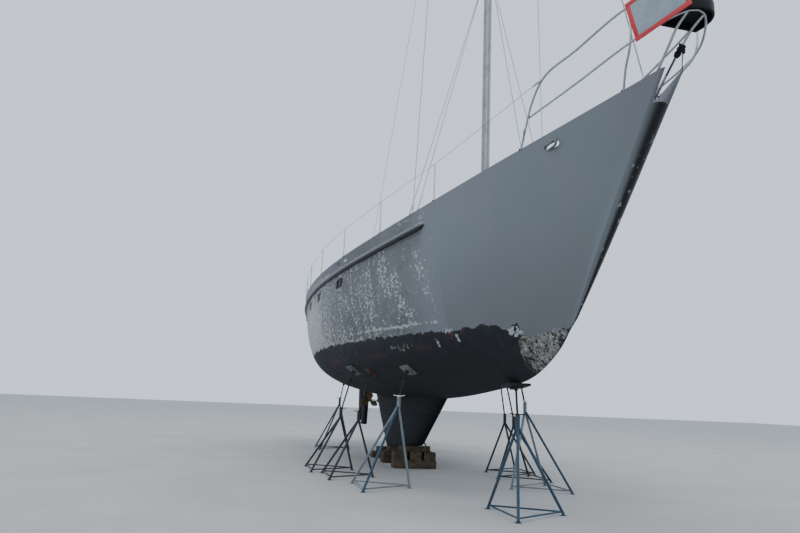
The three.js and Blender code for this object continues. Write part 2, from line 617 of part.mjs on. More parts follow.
function makeStand([, station, climb, out, shift, share, padLong, padWide], side) {
  const step = Math.floor(climb);
  const onSection = (aft) => {
    const half = section(aft);
    return half[step].clone().lerp(half[step + 1], climb - step);
  };
  const at = onSection(station);
  const half = section(station);
  const along = climb ? new THREE.Vector3().subVectors(half[step + 1], half[step]).normalize()
    : new THREE.Vector3(0, -1, 0);
  const ahead = new THREE.Vector3().subVectors(onSection(station - 60), onSection(station + 60))
    .normalize();
  const normal = new THREE.Vector3().crossVectors(ahead, along).normalize();
  if (normal.z > 0) normal.negate();
  const board = new THREE.BoxGeometry(2 * padLong, 2 * padWide, STAND.padT);
  board.translate(0, 0, STAND.padT / 2 - STAND.padBite);
  board.applyMatrix4(new THREE.Matrix4().makeBasis(ahead,
    new THREE.Vector3().crossVectors(normal, ahead), normal));
  board.translate(at.x, at.y, at.z);
  const under = at.clone().addScaledVector(normal, STAND.padT - STAND.padBite - 2);
  const joint = at.clone().addScaledVector(normal, STAND.padT + STAND.knuckleDrop);
  const centre = new THREE.Vector3(at.x + shift, at.y - out, 0);
  const apex = joint.clone().lerp(centre, share);
  const head = raised(apex, STAND.tubeUp - STAND.tubeDown);
  const feet = [30, 150, 270].map((turn) => {
    const a = THREE.MathUtils.degToRad(turn);
    return new THREE.Vector3(centre.x + STAND.footR * Math.cos(a), centre.y - STAND.footR * Math.sin(a), 0);
  });
  const knees = feet.map((foot) => foot.clone().lerp(head, STAND.ringZ / head.z));
  const bars = [rod(under, joint.clone().lerp(apex, 0.04), STAND.knuckleR, 6, STAND.knuckleTipR),
    rod(joint, apex, STAND.screwR, 6),
    rod(raised(apex, STAND.tubeUp), raised(apex, -STAND.tubeDown), STAND.tubeR, 6)];
  feet.forEach((foot, k) => {
    bars.push(rod(raised(foot, STAND.footPlateT - 2), head, STAND.legR, 5),
      rod(foot, raised(foot, STAND.footPlateT), STAND.footPlateR, 6),
      rod(knees[k], knees[(k + 1) % 3], STAND.ringR, 4));
  });
  const clear = hullForm.translate(normal.clone().multiplyScalar(GAP).toArray());
  const stand = cut(join([toSolid(board), ...bars]), clear, belowGround);
  return side < 0 ? stand : stand.mirror([0, 1, 0]);
}

// Companionway

function makeSlideHatch() {
  const { fore, aft, half, t, lift, lip: rise } = SLIDE_HATCH;
  const z = COACH.top + lift;
  const plate = block(fore, aft, -half, half, z, z + t);
  const lip = block(aft - rise, aft + 14, -half, half, z, z + t + rise);
  return join([plate, lip]);
}

function makeHatchGarage() {
  const { half, wall, slope } = GARAGE;
  const [fore, aft] = [SLIDE_HATCH.fore - GARAGE.ahead, SLIDE_HATCH.fore + GARAGE.over];
  const low = COACH.top + GAP;
  const inside = low + SLIDE_HATCH.lift + SLIDE_HATCH.t + GARAGE.headroom;
  const top = inside + wall + 2;
  const outer = prism([[fore, low], [aft, low], [aft, top], [fore + slope, top],
    [fore, inside - 4]], -half, half);
  return cut(outer, block(fore + wall + slope, aft + 50, -half + wall, half - wall, low - 50, inside));
}

function makeDoor(side) {
  const face = COACH.aft + DOOR.t;
  const leaf = block(COACH.aft + GAP, face, side * DOOR.parting, side * (DOOR.half + DOOR.lap),
    DOOR.sill - 20, COACH.top - DOOR.headDrop);
  const knob = rod(vec(face - 2, side * DOOR.knobY, DOOR.knobZ),
    vec(face + DOOR.knobOut, side * DOOR.knobY, DOOR.knobZ), DOOR.knobR, 10);
  return join([leaf, knob]);
}

// Hatches, lids and coaming

const FORE_HATCH_TOP = deckZ(FORE_HATCH.at - FORE_HATCH.half, 0) + FORE_HATCH.rise;

function makeForeHatchFrame() {
  const { at, half } = FORE_HATCH;
  const outer = block(at - half, at + half, -half, half, FORE_HATCH_TOP - 400, FORE_HATCH_TOP);
  return onDeck(cut(outer, foreLocker));
}

function hatchLid({ at, half, lidT: t }, z) {
  const plate = block(at - half - 12, at + half + 12, -half - 12, half + 12, z + GAP, z + t);
  const pane = half - 60;
  const brow = block(at - pane, at + pane, -pane, pane, z + t - 1, z + t + 9);
  return join([plate, brow]);
}

function makeLockerLid(side) {
  const z = COCKPIT.seat + GAP;
  return block(LOCKER.fore, LOCKER.aft, side * LOCKER.inner, side * (LOCKER.outer + 20), z, z + LOCKER.lidT);
}

const COAMING_TOP = deckZ(COAMING.fore, 0) + COAMING.height;

function makeCoaming() {
  const { fore, aft, foot } = COAMING;
  const outer = prism([[fore, foot], [aft, foot], [aft, COAMING_TOP - 60], [aft - 260, COAMING_TOP],
    [fore + 420, COAMING_TOP], [fore, COAMING_TOP - 190]], -COAMING.outer, COAMING.outer);
  const inner = block(COAMING.fore - 200, COCKPIT.aft, -COCKPIT.half, COCKPIT.half, 3500, 5000);
  return onDeck(cut(outer, inner));
}

// radius and height of the winch's outline
const WINCH = { at: 13500, y: 1247, outline: [[0, 0], [115, 0], [115, 26], [92, 34], [72, 60],
  [72, 132], [96, 148], [96, 176], [40, 182], [0, 182]] };

function makeWinch(side) {
  const geometry = new THREE.LatheGeometry(WINCH.outline.map(([r, z]) => new THREE.Vector2(r, z)), 14);
  geometry.rotateX(Math.PI / 2);
  geometry.translate(x(WINCH.at), side * WINCH.y, COAMING_TOP + GAP);
  return toSolid(geometry);
}

const WHEEL = { at: 14420, z: 4330, rimR: 430, rimTube: 15, spokes: 6, spokeR: 10, hubR: 45,
  hubFore: 40, hubAft: 30 };
const PEDESTAL = { at: 14220, r: 105, topR: 80, topZ: 4420, footR: 170, footT: 30, bossR: 34 };

function makePedestal() {
  const onAxis = (z) => vec(PEDESTAL.at, 0, z);
  const low = onAxis(COCKPIT.sole + GAP);
  const column = rod(low, onAxis(PEDESTAL.topZ), PEDESTAL.r, 16, PEDESTAL.topR);
  const foot = rod(low, onAxis(COCKPIT.sole + PEDESTAL.footT), PEDESTAL.footR, 16);
  const head = ball(onAxis(PEDESTAL.topZ + 20), PEDESTAL.r, 12);
  const boss = rod(onAxis(WHEEL.z), vec(WHEEL.at - WHEEL.hubFore - GAP, 0, WHEEL.z),
    PEDESTAL.bossR, 12);
  return join([column, foot, head, boss]);
}

function makeWheel() {
  const rim = new THREE.TorusGeometry(WHEEL.rimR, WHEEL.rimTube, 5, 24);
  rim.rotateY(Math.PI / 2);
  rim.translate(x(WHEEL.at), 0, WHEEL.z);
  const middle = vec(WHEEL.at, 0, WHEEL.z);
  const hub = rod(vec(WHEEL.at - WHEEL.hubFore, 0, WHEEL.z), vec(WHEEL.at + WHEEL.hubAft, 0, WHEEL.z),
    WHEEL.hubR, 16);
  const spokes = Array.from({ length: WHEEL.spokes }, (_, k) => {
    const a = k * 2 * Math.PI / WHEEL.spokes;
    const tip = new THREE.Vector3(0, WHEEL.rimR * Math.sin(a), WHEEL.rimR * Math.cos(a));
    return rod(middle, tip.add(middle), WHEEL.spokeR, 6);
  });
  return join([toSolid(rim), hub, ...spokes]);
}

const WINDLASS = { at: 2150, bedHalf: 210, bedWidth: 150, bedT: 60, body: 2210, bodyR: 100,
  bodyTopR: 80, height: 300, drumZ: 190, drumHalf: 230, drumR: 62 };

function makeWindlass() {
  const { at, bedHalf, bedWidth, bedT, body: aft, drumHalf } = WINDLASS;
  const base = deckZ(at, 0);
  const bed = block(at - bedHalf, at + bedHalf, -bedWidth, bedWidth, base - bedT, base + bedT);
  const body = rod(vec(aft, 0, base + bedT / 2), vec(aft, 0, base + WINDLASS.height),
    WINDLASS.bodyR, 16, WINDLASS.bodyTopR);
  const drum = rod(vec(aft, -drumHalf, base + WINDLASS.drumZ), vec(aft, drumHalf, base + WINDLASS.drumZ),
    WINDLASS.drumR, 16);
  return onDeck(join([bed, body, drum]));
}

// Rig

const SPREADERS = [[9300, 1080], [14300, 820]];   // height, half span
const SPREADER = { chord: 55, tipChord: 26, thick: 15, sweep: 0.16 };

function makeMast() {
  const outline = new THREE.Shape();
  outline.absellipse(0, 0, MAST.foreAft / 2, MAST.across / 2, 0, Math.PI * 2);
  const low = deckZ(MAST.aft - 100, 0) - 120;
  const geometry = new THREE.ExtrudeGeometry(outline,
    { depth: MAST.top - low, curveSegments: 10, bevelEnabled: false });
  geometry.translate(x(MAST.aft), 0, low);
  const collar = rod(vec(MAST.aft, 0, low), vec(MAST.aft, 0, low + MAST.collarH),
    MAST.collarR, 18, MAST.collarTopR);
  const head = block(MAST.aft - MAST.headFore, MAST.aft + MAST.headAft, -MAST.headHalf, MAST.headHalf,
    MAST.top - MAST.headT, MAST.top);
  const slots = SPREADERS.map(([z]) => block(MAST.aft - SPREADER.chord - 1,
    MAST.aft + SPREADER.chord + 12, -MAST.across, MAST.across,
    z - SPREADER.thick - GAP, z + SPREADER.thick + GAP));
  return onDeck(cut(join([toSolid(geometry), collar, head]), ...slots));
}

// A swept pair of spreaders in one, through a slot in the mast
function makeSpreaders([z, span]) {
  const ends = [[-1, SPREADER.chord], [span, SPREADER.tipChord]];
  return join([-1, 1].map((side) => loft(ends.map(([y, chord]) => {
    const mid = MAST.aft + y * SPREADER.sweep;
    return [vec(mid - chord, side * y, z), vec(mid, side * y, z + SPREADER.thick),
      vec(mid + chord, side * y, z), vec(mid, side * y, z - SPREADER.thick)];
  }))));
}

const CHAINPLATE = { fore: 4650, mid: 5050, aft: 5450, half: 8, inset: 190, height: 330,
  lowers: [4700, 5400] };

function makeShrouds(side) {
  const plateY = Math.abs(sideAt(CHAINPLATE.mid, sheerZ(CHAINPLATE.mid) - DECK_DROP).y)
    - CHAINPLATE.inset;
  const foot = (aft) => vec(aft, side * plateY, deckZ(aft, plateY) + CHAINPLATE.height);
  const main = foot(CHAINPLATE.mid);
  const plate = block(CHAINPLATE.fore, CHAINPLATE.aft, side * (plateY - CHAINPLATE.half),
    side * (plateY + CHAINPLATE.half), 4000, main.z + 30);
  const tips = SPREADERS.map(([z, span]) => vec(MAST.aft + span * SPREADER.sweep,
    side * (span + WIRE_R + 6), z));
  const head = vec(MAST.aft, side * (MAST.across / 2 + 14), MAST.top - 150);
  const root = vec(MAST.aft, side * (MAST.across / 2 + 12), SPREADERS[0][0] - 60);
  const run = [main, ...tips, head];
  const wires = run.slice(1).map((p, i) => rod(run[i], p, WIRE_R, 6));
  const lowers = CHAINPLATE.lowers.map((aft) => rod(foot(aft), root, WIRE_R, 6));
  return onDeck(join([plate, ...wires, ...tips.map((p) => ball(p, WIRE_R + 1, 6)), ...lowers]));
}

const FORESTAY = { at: 120, plateFore: 60, plateAft: 200, plateH: 90, foot: 130, footUp: 60,
  head: -215, r: 8, sides: 8 };
const BACKSTAY = { at: 16900, plateFore: 16840, plateAft: 16980, plateH: 110, foot: 16910,
  footUp: 80, head: 195, r: WIRE_R, sides: 6 };

function makeStay({ at, plateFore, plateAft, plateH, foot, footUp, head, r, sides }) {
  const base = deckZ(at, 0);
  const plate = block(plateFore, plateAft, -9, 9, base - 60, base + plateH);
  return onDeck(join([plate, rod(vec(foot, 0, base + footUp),
    vec(MAST.aft + head, 0, MAST.top - 40), r, sides)]));
}

// Rails

// A point on top of the bulwark, inboard of its outer face
function railFoot(aft, side, up = 0) {
  const at = sideAt(aft, sheerZ(aft));
  return new THREE.Vector3(at.x, side * (Math.abs(at.y) - BULWARK_WALL / 2), at.z + GAP + up);
}

const PULPIT = { aftFoot: 1950, midFoot: 270, frontFoot: 260, frontHalf: 50, topZ: 5380,
  noseZ: 5450, noseAft: -760, lowZ: 5040, lowNoseZ: 5160, lowNoseAft: -640, thin: 13,
  flange: [34, 10], midFlange: [30, 10], frontFlange: [32, 14] };
const flange = (p, [r, t]) => rod(p, raised(p, t), r, 8);

// From the foot on the bulwark up round a bend and forward to the nose
const pulpitTopRail = (side, r) => bentTube([railFoot(PULPIT.aftFoot, side), vec(1860, side * 610, 4880),
  vec(1660, side * 605, 5190), vec(1340, side * 600, PULPIT.topZ - 8), vec(700, side * 520, PULPIT.topZ + 15),
  vec(-100, side * 410, PULPIT.topZ + 50), vec(-480, side * 255, PULPIT.noseZ - 8),
  vec(-700, side * 130, PULPIT.noseZ), vec(PULPIT.noseAft, 0, PULPIT.noseZ)], r, 20);
const pulpitLowRail = (side, r) => bentTube([vec(1810, side * 590, PULPIT.lowZ),
  vec(800, side * 475, PULPIT.lowZ), vec(-130, side * 370, PULPIT.lowZ + 15),
  vec(-450, side * 225, PULPIT.lowZ + 75), vec(-610, side * 90, PULPIT.lowNoseZ - 8),
  vec(PULPIT.lowNoseAft, 0, PULPIT.lowNoseZ)], r, 11);
const pulpitFrontLeg = (side, r) => bentTube([
  vec(PULPIT.frontFoot, side * PULPIT.frontHalf, deckZ(PULPIT.frontFoot, PULPIT.frontHalf) - 30),
  vec(-40, side * PULPIT.frontHalf, 4750), vec(-300, side * 80, 4975), vec(-440, side * 112, 5085),
  vec(-600, side * 95, PULPIT.lowNoseZ - 10)], r, 9);
const pulpitMidLeg = (side, r) => bentTube([railFoot(PULPIT.midFoot, side), vec(95, side * 300, 4890),
  vec(-105, side * 372, PULPIT.lowZ + 10), vec(-150, side * 392, PULPIT.topZ + 50)], r, 9);

function makePulpit() {
  const { frontFoot, frontHalf } = PULPIT;
  const parts = [-1, 1].flatMap((side) => [
    pulpitTopRail(side, RAIL_R), pulpitLowRail(side, PULPIT.thin),
    pulpitMidLeg(side, PULPIT.thin), onDeck(pulpitFrontLeg(side, RAIL_R)),
    flange(railFoot(PULPIT.aftFoot, side), PULPIT.flange),
    flange(railFoot(PULPIT.midFoot, side), PULPIT.midFlange),
    onDeck(flange(vec(frontFoot, side * frontHalf, deckZ(frontFoot, frontHalf)), PULPIT.frontFlange))]);
  return cut(join(parts), bulwarkTop);
}

// Moulded seat over the low rail's nose, with a rim turned down outside the rail
const SEAT = { fore: -735, aft: -350, half: 235, topZ: 5240, plate: 40, rimZ: 5125, rim: 22 };

function makeSeat() {
  const outline = (inset) => {
    const shape = new THREE.Shape();
    const [half, fore, aft] = [SEAT.half - inset, SEAT.fore + inset, SEAT.aft - inset];
    shape.moveTo(x(aft), -half + 40);
    shape.bezierCurveTo(x(mix(aft, fore, 0.5)), -half - 20, x(fore), -half * 0.8, x(fore), 0);
    shape.bezierCurveTo(x(fore), half * 0.8, x(mix(aft, fore, 0.5)), half + 20, x(aft), half - 40);
    return shape;
  };
  const slab = (inset, low, high) => {
    const geometry = new THREE.ExtrudeGeometry(outline(inset),
      { depth: high - low, curveSegments: 8, bevelEnabled: false });
    geometry.translate(0, 0, low);
    return toSolid(geometry);
  };
  const tray = cut(slab(0, SEAT.rimZ, SEAT.topZ),
    slab(SEAT.rim, SEAT.rimZ - 10, SEAT.topZ - SEAT.plate));
  const rails = [-1, 1].flatMap((side) => [pulpitLowRail(side, PULPIT.thin + GAP),
    pulpitFrontLeg(side, RAIL_R + GAP)]);
  return cut(tray, ...rails);
}

// Blank sign board hung outside the starboard rails: lower fore and aft corners, upper aft corner,
// and the points of the upper rail that its ties reach
const SIGN = { aft: vec(-195, -366, 5008), fore: vec(-766, -162, 5112), up: vec(-145, -458, 5430),
  t: 7, tieR: 11, ties: [vec(-180, -381, 5433), vec(-560, -214, 5446)] };

function makeSign() {
  const along = new THREE.Vector3().subVectors(SIGN.fore, SIGN.aft);
  const rise = new THREE.Vector3().subVectors(SIGN.up, SIGN.aft);
  const ex = along.clone().normalize();
  const ez = new THREE.Vector3().crossVectors(ex, rise).normalize();
  const ey = new THREE.Vector3().crossVectors(ez, ex);
  const [length, height] = [along.length(), rise.dot(ey)];
  const geometry = new THREE.BoxGeometry(length, height, SIGN.t);
  geometry.translate(length / 2, height / 2, 0);
  geometry.applyMatrix4(new THREE.Matrix4().makeBasis(ex, ey, ez));
  geometry.translate(SIGN.aft.x, SIGN.aft.y, SIGN.aft.z);
  const ties = SIGN.ties.map((p) => {
    const reach = new THREE.Vector3().subVectors(SIGN.aft, p).dot(ez);
    return rod(p, p.clone().addScaledVector(ez, reach), SIGN.tieR, 8);
  });
  return cut(join([toSolid(geometry), ...ties]), pulpitTopRail(-1, RAIL_R + GAP));
}

// Stanchions along the bulwark with one wire over their heads
const STANCHIONS = [4010, 5930, 7860, 9760, 11700, 13600];
const POST = { r: 13, footR: 32, footT: 12, wireR: 4, sternAft: 15880 };

function makeLifeline(side) {
  const heads = STANCHIONS.map((aft) => railFoot(aft, side, STANCHION_H));
  const posts = STANCHIONS.flatMap((aft, i) => {
    const foot = railFoot(aft, side);
    return [rod(foot, raised(heads[i], 10), POST.r, 6),
      rod(foot, raised(foot, POST.footT), POST.footR, 6)];
  });
  const fore = vec(1390, side * 622, PULPIT.topZ - 30);
  const ends = [fore, ...heads, railFoot(POST.sternAft, side, STANCHION_H - 10)];
  const wires = ends.slice(1).map((p, i) => rod(ends[i], p, POST.wireR, 4));
  return cut(join([...posts, ...wires]), bulwarkTop);
}

// Feet along the side and on the transom, and the height and radius of each rail
const PUSHPIT = { feet: [15900, 16900], back: [17140, 560], sternZ: 4345, footR: 34, footT: 12,
  rails: [[320, 12], [620, RAIL_R]] };

function makePushpit() {
  const height = PUSHPIT.rails[1][0];
  const parts = [-1, 1].flatMap((side) => {
    const feet = PUSHPIT.feet.map((aft) => railFoot(aft, side));
    const rails = PUSHPIT.rails.map(([h, r]) => bentTube([raised(feet[0], h), raised(feet[1], h),
      vec(17080, side * 1450, PUSHPIT.sternZ + h), vec(17120, side * 700, PUSHPIT.sternZ + 5 + h),
      vec(17120, 0, PUSHPIT.sternZ + 5 + h)], r, 14));
    const back = vec(PUSHPIT.back[0], side * PUSHPIT.back[1], PUSHPIT.sternZ + GAP);
    return [...rails, ...[...feet, back].map((p) => rod(p, raised(p, height), RAIL_R, 8)),
      ...feet.map((p) => rod(p, raised(p, PUSHPIT.footT), PUSHPIT.footR, 10))];
  });
  return cut(join(parts), bulwarkTop);
}

// Finishes: colour, roughness, metalness
const FINISH = {
  primer: [0x69727b, 0.55, 0.05], antifouling: [0x14181d, 0.8, 0], keel: [0x14181d, 0.8, 0],
  deck: [0x9a9a94, 0.8, 0], coach: [0xb9bbb8, 0.5, 0], glass: [0x15181b, 0.15, 0.1],
  teak: [0x7a5a3c, 0.7, 0], stainless: [0xb4b8bc, 0.25, 0.9], alloy: [0xa8acae, 0.4, 0.7],
  bronze: [0x8c6a3a, 0.4, 0.8], timber: [0x7d6c56, 0.9, 0], standBlue: [0x37647f, 0.55, 0.3],
  standDark: [0x24282c, 0.6, 0.3], canvas: [0x1d1c1c, 0.9, 0], sign: [0xb8404a, 0.6, 0],
};

const yacht = new THREE.Group();

function place(name, solid, finish) {
  const [color, roughness, metalness] = FINISH[finish];
  const mesh = new THREE.Mesh(toGeometry(solid),
    new THREE.MeshStandardMaterial({ color, roughness, metalness }));
  mesh.name = name;
  yacht.add(mesh);
}

const SIDES = [['starboard', -1], ['port', 1]];

place('hull', makeHull(), 'primer');
place('cockpit_tub', makeCockpitTub(), 'coach');
place('deck_fore', makeEndDeck(-1500, CABIN.fore), 'deck');
place('deck_aft', makeEndDeck(COCKPIT.aft, 19000), 'deck');
place('keel_stub', keelSplit(KEEL.jointZ + GAP, 2600), 'antifouling');
place('ballast_keel', keelSplit(0, KEEL.jointZ), 'keel');
place('skeg', makeSkeg(), 'antifouling');
place('rudder', makeRudder(), 'antifouling');
place('propeller_shaft', makeShaft(), 'bronze');
place('propeller', makePropeller(), 'bronze');
for (const [name, aft] of KEEL_BLOCKS) place(name, makeKeelBlock(aft), 'timber');
place('coachroof', makeCoachroof(), 'coach');
place('companionway_hatch', makeSlideHatch(), 'coach');
place('hatch_garage', makeHatchGarage(), 'coach');
place('fore_hatch_frame', makeForeHatchFrame(), 'alloy');
place('fore_hatch_lid', hatchLid(FORE_HATCH, FORE_HATCH_TOP), 'glass');
place('saloon_hatch_lid', hatchLid(SALOON_HATCH, COACH.top + SALOON_HATCH.rise), 'glass');
place('cockpit_coaming', makeCoaming(), 'coach');
place('steering_pedestal', makePedestal(), 'alloy');
place('steering_wheel', makeWheel(), 'stainless');
place('windlass', makeWindlass(), 'alloy');
place('mast', makeMast(), 'alloy');
place('lower_spreaders', makeSpreaders(SPREADERS[0]), 'alloy');
place('upper_spreaders', makeSpreaders(SPREADERS[1]), 'alloy');
place('forestay', makeStay(FORESTAY), 'stainless');
place('backstay', makeStay(BACKSTAY), 'stainless');
place('pulpit', makePulpit(), 'stainless');
place('pulpit_seat', makeSeat(), 'canvas');
place('sign_panel', makeSign(), 'sign');
place('pushpit', makePushpit(), 'stainless');
place('stand_bow', makeStand(STANDS[0], -1), 'standBlue');
for (const [word, side] of SIDES) {
  place(`bulwark_${word}`, makeBulwark(side), 'primer');
  place(`side_deck_${word}`, makeSideDeck(side), 'deck');
  place(`rub_rail_${word}`, makeRubRail(side), 'primer');
  place(`window_band_${word}`, makeWindowBand(side), 'glass');
  place(`companionway_door_${word}`, makeDoor(side), 'teak');
  place(`locker_lid_${word}`, makeLockerLid(side), 'teak');
  place(`winch_${word}`, makeWinch(side), 'stainless');
  place(`shrouds_${word}`, makeShrouds(side), 'stainless');
  place(`lifeline_${word}`, makeLifeline(side), 'stainless');
  for (const row of STANDS.slice(1)) {
    place(`stand_${row[0]}_${word}`, makeStand(row, side), row[0] === 'mid' ? 'standDark' : 'standBlue');
  }
}

export default yacht;
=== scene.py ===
# Sailing yacht laid up ashore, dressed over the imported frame. Metres, +X to the bow, +Y to port, +Z up.
# "aft" is the distance behind the stem head at deck level, as in the yacht's lines.
import bpy
import math
from collections import namedtuple
from mathutils import Matrix, Vector


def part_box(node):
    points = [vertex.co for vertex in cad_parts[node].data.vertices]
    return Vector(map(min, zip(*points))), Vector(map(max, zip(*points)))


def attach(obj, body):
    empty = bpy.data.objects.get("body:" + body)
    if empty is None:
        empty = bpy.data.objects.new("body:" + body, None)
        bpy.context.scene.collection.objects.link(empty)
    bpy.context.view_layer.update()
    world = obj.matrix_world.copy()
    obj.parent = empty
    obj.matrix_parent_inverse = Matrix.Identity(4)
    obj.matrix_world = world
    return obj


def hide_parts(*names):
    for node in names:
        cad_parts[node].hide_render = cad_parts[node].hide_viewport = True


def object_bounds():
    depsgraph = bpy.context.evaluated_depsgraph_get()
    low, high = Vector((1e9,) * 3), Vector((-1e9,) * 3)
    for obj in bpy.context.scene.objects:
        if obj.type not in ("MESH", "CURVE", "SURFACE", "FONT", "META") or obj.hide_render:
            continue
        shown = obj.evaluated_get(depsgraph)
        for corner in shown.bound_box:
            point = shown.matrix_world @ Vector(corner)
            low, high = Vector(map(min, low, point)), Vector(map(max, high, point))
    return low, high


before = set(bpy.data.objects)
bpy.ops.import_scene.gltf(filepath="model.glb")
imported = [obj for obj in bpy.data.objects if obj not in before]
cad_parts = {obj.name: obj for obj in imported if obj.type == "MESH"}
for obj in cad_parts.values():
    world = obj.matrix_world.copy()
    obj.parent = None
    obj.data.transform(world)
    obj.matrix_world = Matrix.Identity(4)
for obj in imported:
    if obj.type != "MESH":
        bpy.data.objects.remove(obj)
bpy.ops.object.select_all(action='DESELECT')
CAD_BOX = [list(corner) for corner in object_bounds()]
YACHT = "yacht_body"
STEM = 8.3645                     # x of the stem head
SIDES = (-1, "starboard"), (1, "port")
AHEAD, TO_PORT, UPWARD = Vector((1, 0, 0)), Vector((0, 1, 0)), Vector((0, 0, 1))


def at(aft, y, z):
    return Vector((STEM - aft, y, z))


def lift(height):
    return Vector((0, 0, height))


def mix(a, b, t):
    return a + (b - a) * t


def angles(count, shift=0.0):
    """Angles evenly spaced round a circle, in radians."""
    return [2 * math.pi * (k + shift) / count for k in range(count)]


# Camera at the photograph's place, on the starboard bow and low down

CAMERA_PLACE = 13.6345, -3.862, 1.47
HEADING_PITCH_ROLL = 13.323, 11.628, 2.45     # in degrees, the heading to port of dead astern
FOCAL_PIXELS, PICTURE_WIDTH, SENSOR_WIDTH = 643.07, 800, 36
SIGHT_LIMIT = 300


def set_camera():
    heading, pitch, roll = (math.radians(a) for a in HEADING_PITCH_ROLL)
    level = Vector((-math.cos(heading), math.sin(heading), 0))
    right = Vector((math.sin(heading), math.cos(heading), 0))
    ahead = level * math.cos(pitch) + UPWARD * math.sin(pitch)
    over = UPWARD * math.cos(pitch) - level * math.sin(pitch)
    right, over = (right * math.cos(roll) + over * math.sin(roll),
                   over * math.cos(roll) - right * math.sin(roll))
    bpy.ops.object.camera_add(location=CAMERA_PLACE)
    camera = bpy.context.object
    camera.rotation_euler = Matrix((right, over, -ahead)).transposed().to_euler()
    camera.data.sensor_width = SENSOR_WIDTH
    camera.data.lens = FOCAL_PIXELS / PICTURE_WIDTH * SENSOR_WIDTH
    camera.data.clip_end = SIGHT_LIMIT
    bpy.context.scene.camera = camera


set_camera()


# Shader sums written as plain expressions

class Wire:
    """One value in a finish's node tree."""

    def __init__(self, finish, socket):
        self.finish, self.socket = finish, socket

    def maths(self, operation, *values):
        return self.finish.node('ShaderNodeMath', {'operation': operation}, values)

    def __add__(self, other): return self.maths('ADD', self, other)
    def __radd__(self, other): return self.maths('ADD', other, self)
    def __sub__(self, other): return self.maths('SUBTRACT', self, other)
    def __rsub__(self, other): return self.maths('SUBTRACT', other, self)
    def __mul__(self, other): return self.maths('MULTIPLY', self, other)
    def __rmul__(self, other): return self.maths('MULTIPLY', other, self)
    def __truediv__(self, other): return self.maths('DIVIDE', self, other)
    def __pow__(self, other): return self.maths('POWER', self, other)
    def __abs__(self): return self.maths('ABSOLUTE', self)
    def lesser(self, other): return self.maths('MINIMUM', self, other)
    def greater(self, other): return self.maths('MAXIMUM', self, other)

    def rise(self, low, high):
        """0 below low, 1 above high, smooth between."""
        return self.finish.node('ShaderNodeMapRange', {'interpolation_type': 'SMOOTHSTEP'},
                                [self, low, high, 0.0, 1.0])


class Finish:
    """A paint, metal or wood, built up from the middle of its node tree."""

    def __init__(self, name, colour, rough=0.5, metal=0.0, coat=0.0, coat_rough=0.1, shine=0.5):
        self.material = bpy.data.materials.new(name)
        self.material.use_nodes = True
        self.tree = self.material.node_tree
        self.shader = self.tree.nodes['Principled BSDF']
        self.shader.inputs['Base Color'].default_value = colour
        self.shader.inputs['Roughness'].default_value = rough
        self.shader.inputs['Metallic'].default_value = metal
        self.shader.inputs['Coat Weight'].default_value = coat
        self.shader.inputs['Coat Roughness'].default_value = coat_rough
        self.shader.inputs['Specular IOR Level'].default_value = shine
        self.place = self.node('ShaderNodeTexCoord', {}, [], 'Object')

    def node(self, kind, settings, values, out=0):
        made = self.tree.nodes.new(kind)
        for key, value in settings.items():
            setattr(made, key, value)
        for key, value in values.items() if isinstance(values, dict) else enumerate(values):
            if isinstance(value, Wire):
                self.tree.links.new(value.socket, made.inputs[key])
            else:
                made.inputs[key].default_value = value
        return Wire(self, made.outputs[out])

    def xyz(self):
        parts = self.node('ShaderNodeSeparateXYZ', {}, [self.place])
        return [Wire(self, out) for out in parts.socket.node.outputs]

    def stretched(self, *scale):
        return self.node('ShaderNodeMapping', {}, {'Vector': self.place, 'Scale': scale})

    def noise(self, scale, detail=3.0, rough=0.5, where=None):
        return self.node('ShaderNodeTexNoise', {}, {'Vector': where or self.place, 'Scale': scale,
                                                    'Detail': detail, 'Roughness': rough})

    def blend(self, share, a, b):
        return self.node('ShaderNodeMix', {'data_type': 'RGBA'}, {0: share, 6: a, 7: b}, 2)

    def bump(self, height, strength, distance):
        normal = self.node('ShaderNodeBump', {},
                           {'Height': height, 'Strength': strength, 'Distance': distance})
        return self.give('Normal', normal)

    def give(self, socket, value):
        self.tree.links.new(value.socket, self.shader.inputs[socket])
        return self


def tone(red, green, blue):
    """A screen colour from 0 to 255 as the shader's linear colour."""
    def straight(v):
        v /= 255
        return v / 12.92 if v <= 0.04045 else ((v + 0.055) / 1.055) ** 2.4
    return (straight(red), straight(green), straight(blue), 1.0)


# Paints

def antifouling_colour(f, z):
    """Near-black bottom paint with dull red under it and pale scrapes near its edge."""
    streak = f.noise(5.0, 5.0, 0.6, f.stretched(1.6, 1.6, 0.5))
    black = f.blend(streak.rise(0.35, 0.7), tone(13, 17, 22), tone(24, 29, 35))
    worn = f.noise(3.1, 6.0, 0.72, f.stretched(1.0, 1.0, 0.8))
    high = z.rise(1.7, 2.45)
    red = f.blend((worn - 0.02 * high).rise(0.60, 0.64) * high * 0.5, black, tone(64, 30, 31))
    scrapes = f.noise(6.3, 7.0, 0.62, f.stretched(1.0, 1.0, 0.6))
    return f.blend(scrapes.rise(0.72, 0.74) * z.rise(1.9, 2.4), red, tone(140, 144, 142))


def spot(aft, z, centre, size):
    """1 in the middle of an oval place on the topsides, falling to 0 at its edge."""
    across, up = (aft - centre[0]) / size[0], (z - centre[1]) / size[1]
    return (1 - (across * across + up * up)).greater(0.0)


# Pale filler on the topsides gathers in these places: distance aft, height, half length, half height, weight
FAIRING_CLUSTERS = [
    (4.44, 3.45, 0.26, 0.55, 0.135), (4.12, 2.86, 0.06, 0.36, 0.15), (5.16, 3.28, 0.26, 0.42, 0.12),
    (5.62, 3.62, 0.28, 0.62, 0.13), (4.46, 4.385, 0.18, 0.075, 0.12), (4.98, 4.41, 0.24, 0.055, 0.12),
    (4.92, 2.84, 0.34, 0.30, 0.12), (4.14, 3.45, 0.06, 0.40, 0.08), (6.3, 3.3, 0.35, 0.9, 0.07)]
